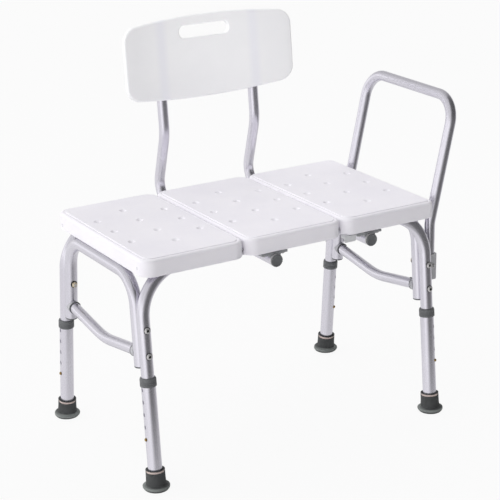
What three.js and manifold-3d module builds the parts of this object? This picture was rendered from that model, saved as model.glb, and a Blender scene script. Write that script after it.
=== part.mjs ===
// Bath transfer bench, millimetres, +Z up.
// Three moulded seat panels lie side by side on a bolted frame of bent aluminium tube: a long
// inverted U along the front and one along the rear, splayed 5 degrees, and a smaller inverted U at
// each end. Four telescopic leg extensions with spring buttons and rubber feet set the height, a
// curved backrest plugs in from behind on two bent tubes, and a bent arm rail stands at one end.
//
// The model is laid out about the floor point under the seat's centre (+X right, towards the arm
// rail, -Y the open front, +Y the backrest), then moved so that the origin is the floor point under
// the middle of the whole footprint.

import * as THREE from "three";
import { mergeVertices } from "three/addons/utils/BufferGeometryUtils.js";
import Module from "manifold-3d";

const wasm = await Module();
wasm.setup();

// ------------------------------------------------------------------ shared dimensions
const ORIGIN_X = 34.18; // middle of the whole footprint, seen from the seat's centre
const ORIGIN_Y = 32.11;
const GROUND = 2; // the floor, in the heights below

const FIT = 0.3; // clearance between fitted parts
const PAST = 5; // how far a cutter reaches past what it cuts
const SIDES = 12; // facets round a tube
const BEND_STEP = 18; // degrees between the rings of a bend

const SEAT_TOP = 468;
const SEAT_EDGE = 35; // height of the seat's edge
const SEAT_LOW = SEAT_TOP - SEAT_EDGE;

const TUBE = 12.7; // outer radius of the frame tube
const LEG_X = 333.5; // legs from the middle plane
const LEG_FOOT_Y = 201.5; // leg axis at height 0
const SPLAY = 0.0898; // leg axis moves in by this much per unit of height
const LEAN = Math.hypot(1, SPLAY); // length along a leg per unit of height
const LONG_TOP = 441; // axis height of the long frames' top run
const END_INSET = 26; // end frame's leg axis inside the long frame's, along Y
const END_GAP = END_INSET / LEAN; // the same, square to the legs

const BOLT_HIGH = 325.5; // where the leg bolts cross the legs' axes
const BOLT_LOW = 274;
const BOLT = 3; // radius
const BOLT_HOLE = BOLT + 0.35;

const HOLE = 3.7; // radius of the holes for the spring buttons

const BACK_X = [-48.8, 177.8]; // the two backrest supports
const BACK_Z = 415.2; // axis height of their horizontal runs
const BACK_TUBE = 11.1; // outer radius

// ------------------------------------------------------------------ materials
const LOOK = {
  panel: { color: 0xeeedf1, roughness: 0.55, metalness: 0 },
  back: { color: 0xe6e6e9, roughness: 0.5, metalness: 0 },
  tube: { color: 0xc9c8d2, roughness: 0.34, metalness: 1 },
  strap: { color: 0x9da1a4, roughness: 0.45, metalness: 1 },
  dark: { color: 0x4d5151, roughness: 0.6, metalness: 0 },
  rubber: { color: 0x4a4e4d, roughness: 0.8, metalness: 0 },
  steel: { color: 0xb9babd, roughness: 0.25, metalness: 1 },
  brass: { color: 0xa88b4e, roughness: 0.35, metalness: 1 },
};

// ------------------------------------------------------------------ solids
const vec = (x, y, z) => new THREE.Vector3(x, y, z);
const radians = THREE.MathUtils.degToRad;
const join = (...solids) => solids.reduce((a, b) => a.add(b));
const cut = (body, ...tools) => tools.reduce((a, b) => a.subtract(b), body);

// The interval reaching half to both sides of a centre.
const around = (centre, half) => [centre - half, centre + half];

// A closed geometry as a solid that can be joined and cut.
function solid(geometry, matrix) {
  const bare = geometry.index ? geometry.toNonIndexed() : geometry.clone();
  bare.deleteAttribute("normal");
  bare.deleteAttribute("uv");
  if (matrix) bare.applyMatrix4(matrix);
  const merged = mergeVertices(bare, 1e-4);
  const triangles = new Uint32Array(merged.index.array);
  const make = () =>
    new wasm.Manifold(
      new wasm.Mesh({
        numProp: 3,
        vertProperties: merged.attributes.position.array,
        triVerts: triangles,
      }),
    );
  const result = make();
  if (result.volume() > 0) return result;
  // the faces point inwards, so they are turned round
  for (let i = 0; i < triangles.length; i += 3) {
    [triangles[i + 1], triangles[i + 2]] = [triangles[i + 2], triangles[i + 1]];
  }
  return make();
}

function geometryOf(body) {
  const mesh = body.getMesh();
  const geometry = new THREE.BufferGeometry();
  geometry.setAttribute(
    "position",
    new THREE.BufferAttribute(new Float32Array(mesh.vertProperties), 3),
  );
  geometry.setIndex(new THREE.BufferAttribute(new Uint32Array(mesh.triVerts), 1));
  geometry.computeVertexNormals();
  return geometry;
}

// The placement that puts the origin at one point and aims the Y axis at another.
function aimed(start, end) {
  const direction = end.clone().sub(start).normalize();
  const turn = new THREE.Quaternion().setFromUnitVectors(vec(0, 1, 0), direction);
  return new THREE.Matrix4().compose(start, turn, vec(1, 1, 1));
}

// Rods and turned parts lie on a line, given as a function from a number to a point.
function rod(radius, line, from, to, sides = SIDES) {
  const start = line(from);
  const end = line(to);
  const length = start.distanceTo(end);
  const geometry = new THREE.CylinderGeometry(radius, radius, length, sides);
  geometry.translate(0, length / 2, 0);
  return solid(geometry, aimed(start, end));
}

// A solid of revolution: profile points are [radius, distance from the start] along the line,
// measured forwards for sense 1 and backwards for -1.
function turned(profile, line, start, { sense = 1, sides = SIDES } = {}) {
  const points = profile.map(([radius, height]) => new THREE.Vector2(radius, height));
  return solid(new THREE.LatheGeometry(points, sides), aimed(line(start), line(start + sense)));
}

function box([x0, x1], [y0, y1], [z0, z1]) {
  const geometry = new THREE.BoxGeometry(x1 - x0, y1 - y0, z1 - z0);
  geometry.translate((x0 + x1) / 2, (y0 + y1) / 2, (z0 + z1) / 2);
  return solid(geometry);
}

// A quarter-turn or other arc as [x, y] points, both ends included.
function arc(x, y, radius, fromDegrees, sweep, steps) {
  return Array.from({ length: steps + 1 }, (_, i) => {
    const angle = radians(fromDegrees + (sweep * i) / steps);
    return [x + radius * Math.cos(angle), y + radius * Math.sin(angle)];
  });
}

const circle = (radius) => arc(0, 0, radius, 0, 360, SIDES).slice(0, -1);

// Rounded rectangle about the origin, anticlockwise; its right corners may have their own radius.
function rounded(halfX, halfY, radius, rightRadius = radius) {
  const steps = 3;
  const left = radius - halfX;
  const right = halfX - rightRadius;
  return [
    ...arc(right, halfY - rightRadius, rightRadius, 0, 90, steps),
    ...arc(left, halfY - radius, radius, 90, 90, steps),
    ...arc(left, radius - halfY, radius, 180, 90, steps),
    ...arc(right, rightRadius - halfY, rightRadius, 270, 90, steps),
  ];
}

// Stacked rings of equal count, closed by flat caps.
function stacked(rings) {
  const count = rings[0].length;
  const top = (rings.length - 1) * count;
  const triangles = [];
  for (let start = 0; start < top; start += count) {
    for (let i = 0; i < count; i++) {
      const here = start + i;
      const next = start + ((i + 1) % count);
      triangles.push(here, next, next + count, here, next + count, here + count);
    }
  }
  for (let i = 1; i + 1 < count; i++) {
    triangles.push(0, i + 1, i);
    triangles.push(top, top + i, top + i + 1);
  }
  const geometry = new THREE.BufferGeometry();
  geometry.setAttribute("position", new THREE.Float32BufferAttribute(rings.flat(2), 3));
  geometry.setIndex(triangles);
  return solid(geometry);
}

// A flat shape from [x, y] points, with an optional hole.
function shapeOf(points, hole) {
  const vectors = (list) => list.map(([x, y]) => new THREE.Vector2(x, y));
  const shape = new THREE.Shape(vectors(points));
  if (hole) shape.holes.push(new THREE.Path(vectors(hole)));
  return shape;
}

function extruded(shape, options, matrix) {
  const geometry = new THREE.ExtrudeGeometry(shape, {
    bevelEnabled: false,
    curveSegments: 1,
    ...options,
  });
  return solid(geometry, matrix);
}

// A route of straight runs joined by true arcs, one radius for each inner corner. An extrusion
// asks it for its ring centres and frames.
class Route extends THREE.Curve {
  constructor(corners, radii) {
    super();
    const direction = (i) => corners[i + 1].clone().sub(corners[i]).normalize();
    const last = corners.length - 1;
    this.rings = [{ centre: corners[0], tangent: direction(0) }];
    radii.forEach((radius, i) => this.addBend(corners[i + 1], direction(i), direction(i + 1), radius));
    this.rings.push({ centre: corners[last], tangent: direction(last - 1) });
  }

  addBend(corner, before, after, radius) {
    const turn = before.angleTo(after);
    const steps = Math.max(2, Math.round(THREE.MathUtils.radToDeg(turn) / BEND_STEP));
    const start = corner.clone().addScaledVector(before, -radius * Math.tan(turn / 2));
    const inward = after.clone().addScaledVector(before, -after.dot(before)).normalize();
    for (let i = 0; i <= steps; i++) {
      const angle = (turn * i) / steps;
      const centre = start
        .clone()
        .addScaledVector(before, radius * Math.sin(angle))
        .addScaledVector(inward, radius * (1 - Math.cos(angle)));
      const tangent = before
        .clone()
        .multiplyScalar(Math.cos(angle))
        .addScaledVector(inward, Math.sin(angle));
      this.rings.push({ centre, tangent });
    }
  }

  getSpacedPoints() {
    return this.rings.map(({ centre }) => centre.clone());
  }

  // Frames carried from ring to ring without twist.
  computeFrenetFrames() {
    const tangents = this.rings.map(({ tangent }) => tangent.clone().normalize());
    const normals = [];
    const binormals = [];
    let normal = Math.abs(tangents[0].x) < 0.9 ? vec(1, 0, 0) : vec(0, 1, 0);
    tangents.forEach((tangent, i) => {
      if (i) {
        const turn = new THREE.Quaternion().setFromUnitVectors(tangents[i - 1], tangent);
        normal = normal.clone().applyQuaternion(turn);
      }
      normal.addScaledVector(tangent, -normal.dot(tangent)).normalize();
      normals.push(normal.clone());
      binormals.push(tangent.clone().cross(normal).normalize());
    });
    return { tangents, normals, binormals };
  }
}

// A round bar (wall 0) or a tube along a route.
function swept(route, radius, wall = 0) {
  const shape = shapeOf(circle(radius), wall ? circle(radius - wall) : undefined);
  return extruded(shape, { steps: route.rings.length - 1, extrudePath: route });
}

// ------------------------------------------------------------------ group and naming
const root = new THREE.Group();
const group = new THREE.Group();
group.position.set(-ORIGIN_X, -ORIGIN_Y, -GROUND);
root.add(group);

function piece(name, body, look) {
  const mesh = new THREE.Mesh(geometryOf(body), new THREE.MeshStandardMaterial(look));
  mesh.name = name;
  group.add(mesh);
}

// Sides of the bench: side is the sign of X, front the sign of Y (-1 at the front, 1 behind).
const ENDS = [
  ["left", -1],
  ["right", 1],
];
const FRONTS = [
  ["front", -1],
  ["rear", 1],
];

function eachLeg(build) {
  ENDS.forEach(([endName, side]) =>
    FRONTS.forEach(([frontName, front]) => build(`${frontName}_${endName}`, side, front)),
  );
}

// ------------------------------------------------------------------ lines through the legs
const legY = (front, z, inset = 0) => front * (LEG_FOOT_Y - SPLAY * z - inset);

// A leg's axis, by height; inset END_INSET gives the end frame's leg.
const legLine = (side, front, inset = 0) => (z) => vec(side * LEG_X, legY(front, z, inset), z);

// A leg bolt's axis, square to the leg, by distance outwards from the long frame's leg axis.
const boltLine = (side, front, z) => (out) =>
  vec(side * LEG_X, legY(front, z) + (front * out) / LEAN, z + (SPLAY * out) / LEAN);

// Spring buttons on the legs of each end: axis height and direction, degrees from +X.
const BUTTONS = {
  left: { height: 105.5, turn: 180 },
  right: { height: 114.5, turn: -50 },
};

// A spring button's axis, or one higher up the leg, by distance outwards from the leg's axis.
function buttonLine(side, front, rise = 0) {
  const { height, turn } = side < 0 ? BUTTONS.left : BUTTONS.right;
  const up = vec(0, -front * SPLAY, 1).normalize();
  const centre = legLine(side, front)(height).addScaledVector(up, rise);
  const direction = vec(Math.cos(radians(turn)), Math.sin(radians(turn)), 0);
  direction.addScaledVector(up, -direction.dot(up)).normalize(); // square to the leg
  return (out) => centre.clone().addScaledVector(direction, out);
}

const buttonHole = (side, front, rise) => rod(HOLE, buttonLine(side, front, rise), 0, 20, 8);

// ------------------------------------------------------------------ seat panels
const SEAT_LENGTH = 680;
const SEAT_DEPTH = 384;
const PANELS = ["left", "middle", "right"];
const PITCH = SEAT_LENGTH / PANELS.length;
const SEAM = 2.4; // gap between neighbouring panels
const CORNER = 26; // corner radius of a panel, seen from above
const RIGHT_CORNER = 16; // the same at the seat's right end
const RIGHT_EXTRA = 3; // the right end reaches this much further
const SKIN = 4; // wall of a panel
const RIB_X = 62; // ribs from the panel's centre
const RIB_WIDTH = 3;
const DRAIN_RADIUS = 3.3;
const DRAIN_X = 76;
const DRAIN_PITCH = 74;

// The moulded tray, open below, with a softened top edge.
function seatShell(middle, halfX, rightCorner) {
  const ring = (inset, z) =>
    rounded(
      halfX - inset,
      SEAT_DEPTH / 2 - inset,
      CORNER - inset,
      rightCorner - inset,
    ).map(([x, y]) => [x + middle, y, z]);
  return cut(
    stacked([
      ring(0, SEAT_LOW),
      ring(0, SEAT_TOP - 5),
      ring(1.4, SEAT_TOP - 1.5),
      ring(5, SEAT_TOP),
    ]),
    stacked([ring(SKIN, SEAT_LOW - PAST), ring(SKIN, SEAT_TOP - SKIN)]),
  );
}

// Staggered holes: a middle column of four and two outer columns of three.
function drainHoles(centre) {
  const columns = [
    [0, [-1.5, -0.5, 0.5, 1.5]],
    [-DRAIN_X, [-1, 0, 1]],
    [DRAIN_X, [-1, 0, 1]],
  ];
  return columns.flatMap(([offset, rows]) =>
    rows.map((row) => {
      const line = (z) => vec(centre + offset, row * DRAIN_PITCH, z);
      return rod(DRAIN_RADIUS, line, SEAT_TOP - SKIN - 3, SEAT_TOP + 2, 6);
    }),
  );
}

function seatPanel(index) {
  const isFirst = index === 0;
  const isLast = index === PANELS.length - 1;
  const centre = (index - 1) * PITCH;
  const extra = isLast ? RIGHT_EXTRA : 0;
  const halfX = (PITCH - SEAM + extra) / 2;
  const middle = centre + extra / 2; // of the panel's outline
  // ribs that stand on the frame tubes
  const ribs = [-RIB_X, RIB_X].map((offset) =>
    box(
      around(centre + offset, RIB_WIDTH / 2),
      around(0, SEAT_DEPTH / 2 - 2),
      [SEAT_LOW, SEAT_TOP - 2],
    ),
  );
  // half-round seats over the front and rear frame tubes; the seat's two end walls stay whole
  const from = isFirst ? middle - halfX + SKIN : centre - 140;
  const to = isLast ? middle + halfX - SKIN : centre + 140;
  const tubeSeats = [-1, 1].flatMap((front) => {
    const y = legY(front, LONG_TOP);
    return [
      rod(TUBE + FIT, (x) => vec(x, y, LONG_TOP), from, to),
      box([from, to], around(y, TUBE + 1.4), [SEAT_LOW - PAST, LONG_TOP - 2]),
    ];
  });
  const shell = seatShell(middle, halfX, isLast ? RIGHT_CORNER : CORNER);
  return cut(join(shell, ...ribs), ...tubeSeats, ...drainHoles(centre));
}

PANELS.forEach((name, index) => piece(`seat_panel_${name}`, seatPanel(index), LOOK.panel));

// ------------------------------------------------------------------ frame
const TUBE_WALL = 1.2;
const LONG_BEND = 95;
const LONG_CUT = 86; // height of the long frames' lower ends, inside the extensions
const END_TOP = 420; // axis height of the end frames' top run
const END_BEND = 60;
const END_CUT = 244.5; // height of the end frames' lower ends

// A tube up one line, across and down another.
function archTube(upLine, downLine, low, high, bend) {
  const corners = [upLine(low), upLine(high), downLine(high), downLine(low)];
  return swept(new Route(corners, [bend, bend]), TUBE, TUBE_WALL);
}

// Cutters for a leg's two bolt holes through a tube, at a distance outwards from the leg's axis.
const boltHoles = (side, front, out) =>
  [BOLT_HIGH, BOLT_LOW].map((z) =>
    rod(BOLT_HOLE, boltLine(side, front, z), out - 20, out + 20, 8),
  );

function longFrame(front) {
  return cut(
    archTube(legLine(-1, front), legLine(1, front), LONG_CUT, LONG_TOP, LONG_BEND),
    ...[-1, 1].flatMap((side) => [...boltHoles(side, front, 0), buttonHole(side, front)]),
  );
}

function endFrame(side) {
  const leg = (front) => legLine(side, front, END_INSET);
  return cut(
    archTube(leg(-1), leg(1), END_CUT, END_TOP, END_BEND),
    ...[-1, 1].flatMap((front) => boltHoles(side, front, -END_INSET)),
  );
}

// Plug in the lower end of an end frame's leg.
function endFramePlug(side, front) {
  const bore = TUBE - TUBE_WALL - FIT;
  const profile = [
    [0, -3],
    [TUBE - 1.2, -3],
    [TUBE - 0.2, -1.8],
    [TUBE - 0.2, -FIT],
    [bore, -FIT],
    [bore - 0.4, 13],
    [0, 13],
  ];
  return turned(profile, legLine(side, front, END_INSET), END_CUT);
}

FRONTS.forEach(([name, front]) => piece(`${name}_frame_tube`, longFrame(front), LOOK.tube));
ENDS.forEach(([name, side]) => piece(`${name}_end_frame_tube`, endFrame(side), LOOK.tube));
eachLeg((name, side, front) =>
  piece(`${name}_end_frame_plug`, endFramePlug(side, front), LOOK.dark),
);

// ------------------------------------------------------------------ end braces
const BRACE = 11.1; // outer radius
const BRACE_WALL = 1.4;
const BRACE_END_Y = 133.5;
const BRACE_DROP = 21; // how far the bowed middle hangs below the ends, before rounding
const BRACE_BEND = 190;
const BRACE_IN = (legY(1, BOLT_LOW) - BRACE_END_Y) * LEAN; // from a leg's axis to the brace's end
const BRACE_Z = BOLT_LOW - (SPLAY * BRACE_IN) / LEAN;

function brace(side) {
  const bar = (reach, radius) => {
    const at = (y, z) => vec(side * LEG_X, y, z);
    const endZ = BRACE_Z - (BRACE_END_Y - reach) * (BRACE_DROP / BRACE_END_Y);
    const corners = [at(-reach, endZ), at(0, BRACE_Z - BRACE_DROP), at(reach, endZ)];
    return swept(new Route(corners, [BRACE_BEND]), radius);
  };
  // the ends are left solid, and are cut square to the bolts
  return cut(
    bar(BRACE_END_Y + 4, BRACE),
    bar(BRACE_END_Y - 22, BRACE - BRACE_WALL),
    ...[-1, 1].flatMap((front) => {
      const line = boltLine(side, front, BOLT_LOW);
      return [
        rod(40, line, -BRACE_IN, -BRACE_IN + 30),
        rod(BOLT_HOLE, line, -BRACE_IN - 34, -BRACE_IN + 5, 10),
      ];
    }),
  );
}

// Spacer between the brace's end and the end frame's leg, hollowed to fit the leg.
function braceSaddle(side, front) {
  const line = boltLine(side, front, BOLT_LOW);
  const profile = [
    [BOLT_HOLE, 0],
    [BRACE + 0.9, 0],
    [BRACE + 1.6, 0.8],
    [BRACE + 1.6, 9.5],
    [BOLT_HOLE, 9.5],
    [BOLT_HOLE, 0],
  ];
  // the ears that would be left on the far side of the leg are cut away
  const earStart = -END_GAP - 2.5;
  return cut(
    turned(profile, line, FIT - BRACE_IN),
    rod(TUBE + FIT, legLine(side, front, END_INSET), BRACE_Z - 40, BRACE_Z + 40),
    rod(40, line, earStart, earStart + 40),
  );
}

ENDS.forEach(([name, side]) => piece(`${name}_end_brace`, brace(side), LOOK.tube));
eachLeg((name, side, front) =>
  piece(`${name}_brace_saddle`, braceSaddle(side, front), LOOK.dark),
);

// ------------------------------------------------------------------ leg bolts and nuts
const BOLT_HEAD = 6.2; // radius
const BOLT_HEAD_HEIGHT = 3.4;
const SOCKET = 2.3; // radius of the recess in the head
const SOCKET_FLOOR = 1.4;
const BOLT_SPAN = 2 * TUBE + END_INSET; // across both legs
const UPPER_BOLT_LENGTH = BOLT_SPAN + 8.6;
const LOWER_BOLT_LENGTH = BOLT_SPAN + 22;

function legBolt(side, front, z, length) {
  const profile = [
    [0, -length],
    [BOLT, -length],
    [BOLT, 0],
    [BOLT_HEAD, 0],
    [BOLT_HEAD, 1.4],
    [BOLT_HEAD - 2.2, BOLT_HEAD_HEIGHT],
    [SOCKET, BOLT_HEAD_HEIGHT],
    [SOCKET, SOCKET_FLOOR],
    [0, SOCKET_FLOOR],
  ];
  return turned(profile, boltLine(side, front, z), TUBE + 0.8, { sides: 10 });
}

// Nut against the inner side of the end frame's leg.
function upperNut(side, front) {
  const line = boltLine(side, front, BOLT_HIGH);
  const face = -(END_GAP + TUBE + 0.9);
  const profile = [
    [0, 0],
    [5.8, 0],
    [5.8, 4.6],
    [4.2, 6.2],
    [0, 6.2],
  ];
  return cut(
    turned(profile, line, face, { sense: -1, sides: 6 }),
    rod(BOLT + FIT, line, face + 3, face - 10, 8),
  );
}

eachLeg((name, side, front) => {
  const bolt = (z, length) => legBolt(side, front, z, length);
  piece(`${name}_upper_bolt`, bolt(BOLT_HIGH, UPPER_BOLT_LENGTH), LOOK.steel);
  piece(`${name}_lower_bolt`, bolt(BOLT_LOW, LOWER_BOLT_LENGTH), LOOK.steel);
  piece(`${name}_upper_nut`, upperNut(side, front), LOOK.steel);
});

// ------------------------------------------------------------------ leg extensions
const EXT = 14.3; // outer radius of a leg extension
const EXT_BORE = 13;
const EXT_TOP = 224;
const EXT_BOTTOM = 12;
const HOLE_PITCH = 25.4;
const HOLES_LEFT = 5;
const HOLES_RIGHT = 4; // a fifth one would be under the collar
const COLLAR = 16.3; // outer radius
const COLLAR_BOTTOM = 212.5;
const COLLAR_TOP = 230.5;
const BUTTON = 3.2; // radius
const FOOT = 27; // radius of the flare
const FOOT_NECK = 19.2;
const FOOT_TOP = 42.5;

// Tube with a row of height holes, from the button's upwards.
function legExtension(side, front) {
  const leg = legLine(side, front);
  const count = side < 0 ? HOLES_LEFT : HOLES_RIGHT;
  const holes = Array.from({ length: count }, (_, i) => buttonHole(side, front, i * HOLE_PITCH));
  return cut(
    rod(EXT, leg, EXT_BOTTOM, EXT_TOP),
    rod(EXT_BORE, leg, EXT_BOTTOM - 3, EXT_TOP + 3),
    ...holes,
  );
}

// Collar on the top end: a lip runs on the upper tube and a skirt holds the extension.
function legCollar(side, front) {
  const lip = (EXT_TOP + 0.4 - COLLAR_BOTTOM) * LEAN;
  const top = (COLLAR_TOP - COLLAR_BOTTOM) * LEAN;
  const profile = [
    [EXT + FIT, 0],
    [COLLAR - 1, 0],
    [COLLAR, 1],
    [COLLAR, top - 1.6],
    [COLLAR - 1.6, top],
    [EXT_BORE, top],
    [EXT_BORE, lip],
    [EXT + FIT, lip],
    [EXT + FIT, 0],
  ];
  return turned(profile, legLine(side, front), COLLAR_BOTTOM);
}

// Spring button, standing out of the lowest hole.
function snapButton(side, front) {
  const profile = [
    [0, 6.4],
    [4.6, 6.4],
    [4.6, 7.6],
    [BUTTON, 7.6],
    [BUTTON, EXT + 1.2],
    [BUTTON * 0.75, EXT + 2.5],
    [0, EXT + 3.2],
  ];
  return turned(profile, buttonLine(side, front), 0, { sides: 10 });
}

// Flared shoe over the end of the extension, cut flat on the floor.
function rubberFoot(side, front) {
  const leg = legLine(side, front);
  const base = leg(0);
  const top = FOOT_TOP * LEAN;
  const socketFloor = (EXT_BOTTOM - FIT) * LEAN;
  const profile = [
    [0, -6],
    [FOOT - 2.6, -6],
    [FOOT - 2.6, 2.4],
    [FOOT, 6.2],
    [FOOT, 9.4],
    [FOOT - 1.6, 11],
    [FOOT_NECK + 1.5, 12.6],
    [FOOT_NECK + 0.4, 17],
    [FOOT_NECK, 26],
    [FOOT_NECK, top - 1.6],
    [FOOT_NECK - 1.4, top],
    [EXT + FIT, top],
    [EXT + FIT, socketFloor],
    [0, socketFloor],
  ];
  return cut(
    turned(profile, leg, 0, { sides: 16 }),
    box(around(base.x, 60), around(base.y, 60), [-30, GROUND]),
  );
}

eachLeg((name, side, front) => {
  piece(`${name}_leg_extension`, legExtension(side, front), LOOK.tube);
  piece(`${name}_leg_collar`, legCollar(side, front), LOOK.dark);
  piece(`${name}_snap_button`, snapButton(side, front), LOOK.brass);
  piece(`${name}_rubber_foot`, rubberFoot(side, front), LOOK.rubber);
});

// ------------------------------------------------------------------ backrest supports
const BACK_WALL = 1.2;
const BACK_START_Y = 52; // front end of the horizontal run
const BACK_KINK = 570.4; // height where the lower run meets the upper
const BACK_TOP = 798;
const BACK_BENDS = [44, 105];
const RECLINE = 0.1; // slope of the upper runs

const lowerBackY = (z) => 266.5 - 0.28 * (z - 517); // forward-leaning run
const upperBackY = (z) => 257.8 + RECLINE * (z - 633); // reclined run

function backSupport(x) {
  const corners = [
    vec(x, BACK_START_Y, BACK_Z),
    vec(x, lowerBackY(BACK_Z), BACK_Z),
    vec(x, upperBackY(BACK_KINK), BACK_KINK),
    vec(x, upperBackY(BACK_TOP), BACK_TOP),
  ];
  return swept(new Route(corners, BACK_BENDS), BACK_TUBE, BACK_WALL);
}

["left", "right"].forEach((name, i) =>
  piece(`backrest_support_${name}`, backSupport(BACK_X[i]), LOOK.tube),
);

// ------------------------------------------------------------------ backrest panel
const PANEL_CENTRE = [64.5, 255, 729.6];
const PANEL_HALF = 206; // half the width
const PANEL_RISE = 89.1; // half the height in the middle
const PANEL_ARCH = 7.6; // how much lower the edge is at ARCH_REACH from the middle
const ARCH_REACH = 150;
const PANEL_CORNER = 34;
const PANEL_THICK = 12;
const PANEL_BOW = 1415; // radius of its curve, seen from above
const BOW_STEPS = 12;
const SLAB_HEIGHT = 240; // before it is cut to the outline
const OUTLINE_DEPTH = 120; // of the prism that cuts it
const SLOT_X = -5.6; // the slot sits a little to the left
const SLOT_HALF = 64.1;
const SLOT_LOW = 37;
const SLOT_HIGH = 71;
const SLOT_CORNER = 15;

// A slab bowed in plan, its ends further forward than its middle.
function bowedSlab() {
  const half = PANEL_HALF + 10;
  const front = Array.from({ length: BOW_STEPS + 1 }, (_, i) => {
    const x = -half + (2 * half * i) / BOW_STEPS;
    return [x, -(x * x) / (2 * PANEL_BOW)];
  });
  const rear = front.map(([x, y]) => [x, y + PANEL_THICK]).reverse();
  return extruded(
    shapeOf([...front, ...rear]),
    { depth: SLAB_HEIGHT },
    new THREE.Matrix4().makeTranslation(0, 0, -SLAB_HEIGHT / 2),
  );
}

// The outline with its hand slot, seen from the front, as a prism along Y.
function outlinePrism() {
  const edge = (x) => PANEL_RISE - PANEL_ARCH * (x / ARCH_REACH) ** 2;
  const cornerX = PANEL_HALF - PANEL_CORNER;
  const cornerZ = edge(cornerX) - PANEL_CORNER;
  const corner = arc(cornerX, cornerZ, PANEL_CORNER, 0, 90, 5);
  const top = [];
  for (let i = 1; i < 8; i++) {
    const x = cornerX - (2 * cornerX * i) / 8;
    top.push([x, edge(x)]);
  }
  const upper = [...corner, ...top, ...corner.map(([x, z]) => [-x, z]).reverse()];
  const lower = upper.map(([x, z]) => [-x, -z]);
  const slotZ = (SLOT_LOW + SLOT_HIGH) / 2;
  const slot = rounded(SLOT_HALF, (SLOT_HIGH - SLOT_LOW) / 2, SLOT_CORNER)
    .map(([x, z]) => [SLOT_X + x, slotZ + z])
    .reverse();
  // the shape's x, y become X, Z
  const upright = new THREE.Matrix4()
    .makeRotationX(Math.PI / 2)
    .premultiply(new THREE.Matrix4().makeTranslation(0, OUTLINE_DEPTH / 2, 0));
  return extruded(shapeOf([...upper, ...lower], slot), { depth: OUTLINE_DEPTH }, upright);
}

// The panel, reclined, with channels that take the supports.
function backPanel() {
  const placed = new THREE.Matrix4()
    .makeRotationX(-Math.atan(RECLINE))
    .premultiply(new THREE.Matrix4().makeTranslation(...PANEL_CENTRE));
  const channels = BACK_X.map((x) =>
    rod(BACK_TUBE + FIT, (z) => vec(x, upperBackY(z), z), 600, BACK_TOP + 1),
  );
  return cut(solid(geometryOf(bowedSlab().intersect(outlinePrism())), placed), ...channels);
}

piece("backrest_panel", backPanel(), LOOK.back);

// ------------------------------------------------------------------ backrest receivers and straps
const RECEIVER_BORE = 11.5;
const RECEIVER_FRONT = -190.5;
const RECEIVER_REAR = 188;
const PLUG_HEAD = 7.8;
const STRAP_LOW = 426.6;
const STRAP_HIGH = 431.2;
const STRAP_FRONT_Y = [-190, -177];
const STRAP_REAR_Y = [176.6, 187.5];
const STRAP_RIGHT = 29; // reach of a front strap to the right of its receiver
const STRAP_LEFT = [31, 64]; // the same to the left; the right strap has a tab there
const PAD_INSET = 2; // pad of a front strap from the strap's end
const PAD_WIDTH = 12;

const receiverLine = (x) => (y) => vec(x, y, BACK_Z);

function receiver(x) {
  const line = receiverLine(x);
  return cut(
    rod(TUBE, line, RECEIVER_FRONT, RECEIVER_REAR),
    rod(RECEIVER_BORE, line, RECEIVER_FRONT - PAST, RECEIVER_REAR + PAST),
  );
}

// Plug in a receiver's front end.
function receiverPlug(x) {
  const profile = [
    [0, -PLUG_HEAD],
    [TUBE - 0.8, -PLUG_HEAD],
    [TUBE + 0.3, -PLUG_HEAD + 1],
    [TUBE + 0.3, -1.3],
    [TUBE - 0.8, -1.3],
    [TUBE - 0.8, -FIT],
    [RECEIVER_BORE - FIT, -FIT],
    [RECEIVER_BORE - 0.5, 14],
    [0, 14],
  ];
  return turned(profile, receiverLine(x), RECEIVER_FRONT);
}

// Parts of a strap: the bar, the block over a receiver, the cutter that clears the receiver, and
// a pad against the seat.
const strapBar = (spanX, spanY) => box(spanX, spanY, [STRAP_LOW, STRAP_HIGH]);
const strapBlock = (x, spanY) => box(around(x, 11), spanY, [BACK_Z + 7, STRAP_HIGH - 1]);
const strapCutter = (x, [y0, y1]) => rod(TUBE + FIT, receiverLine(x), y0 - PAST, y1 + PAST);
const strapPad = (spanX, [y0, y1]) =>
  box(spanX, [y0 + 1, y1 - 1], [STRAP_HIGH - 1, SEAT_LOW - FIT]);

function frontStrap(x, reach, hasTab) {
  const left = x - reach;
  const right = x + STRAP_RIGHT;
  const padEnd = PAD_INSET + PAD_WIDTH;
  const parts = [
    strapBar([left, right], STRAP_FRONT_Y),
    strapBlock(x, STRAP_FRONT_Y),
    strapPad([left + PAD_INSET, left + padEnd], STRAP_FRONT_Y),
    strapPad([right - padEnd, right - PAD_INSET], STRAP_FRONT_Y),
  ];
  if (hasTab) {
    // turned-down lip of the tab
    const [y] = STRAP_FRONT_Y;
    parts.push(box([x - 62, x - 34], [y, y + 2], [SEAT_LOW - 15, STRAP_LOW + 1]));
  }
  return cut(join(...parts), strapCutter(x, STRAP_FRONT_Y));
}

// One strap across both receivers.
function rearStrap() {
  const spanY = STRAP_REAR_Y;
  return cut(
    join(
      strapBar([BACK_X[0] - 26, BACK_X[1] + 26], spanY),
      ...BACK_X.flatMap((x) => [strapBlock(x, spanY), strapPad(around(x, 6), spanY)]),
    ),
    ...BACK_X.map((x) => strapCutter(x, spanY)),
  );
}

["left", "right"].forEach((name, i) => {
  const x = BACK_X[i];
  piece(`${name}_backrest_receiver`, receiver(x), LOOK.tube);
  piece(`${name}_receiver_plug`, receiverPlug(x), LOOK.dark);
  piece(`${name}_receiver_strap`, frontStrap(x, STRAP_LEFT[i], name === "right"), LOOK.strap);
});
piece("rear_receiver_strap", rearStrap(), LOOK.strap);

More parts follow.
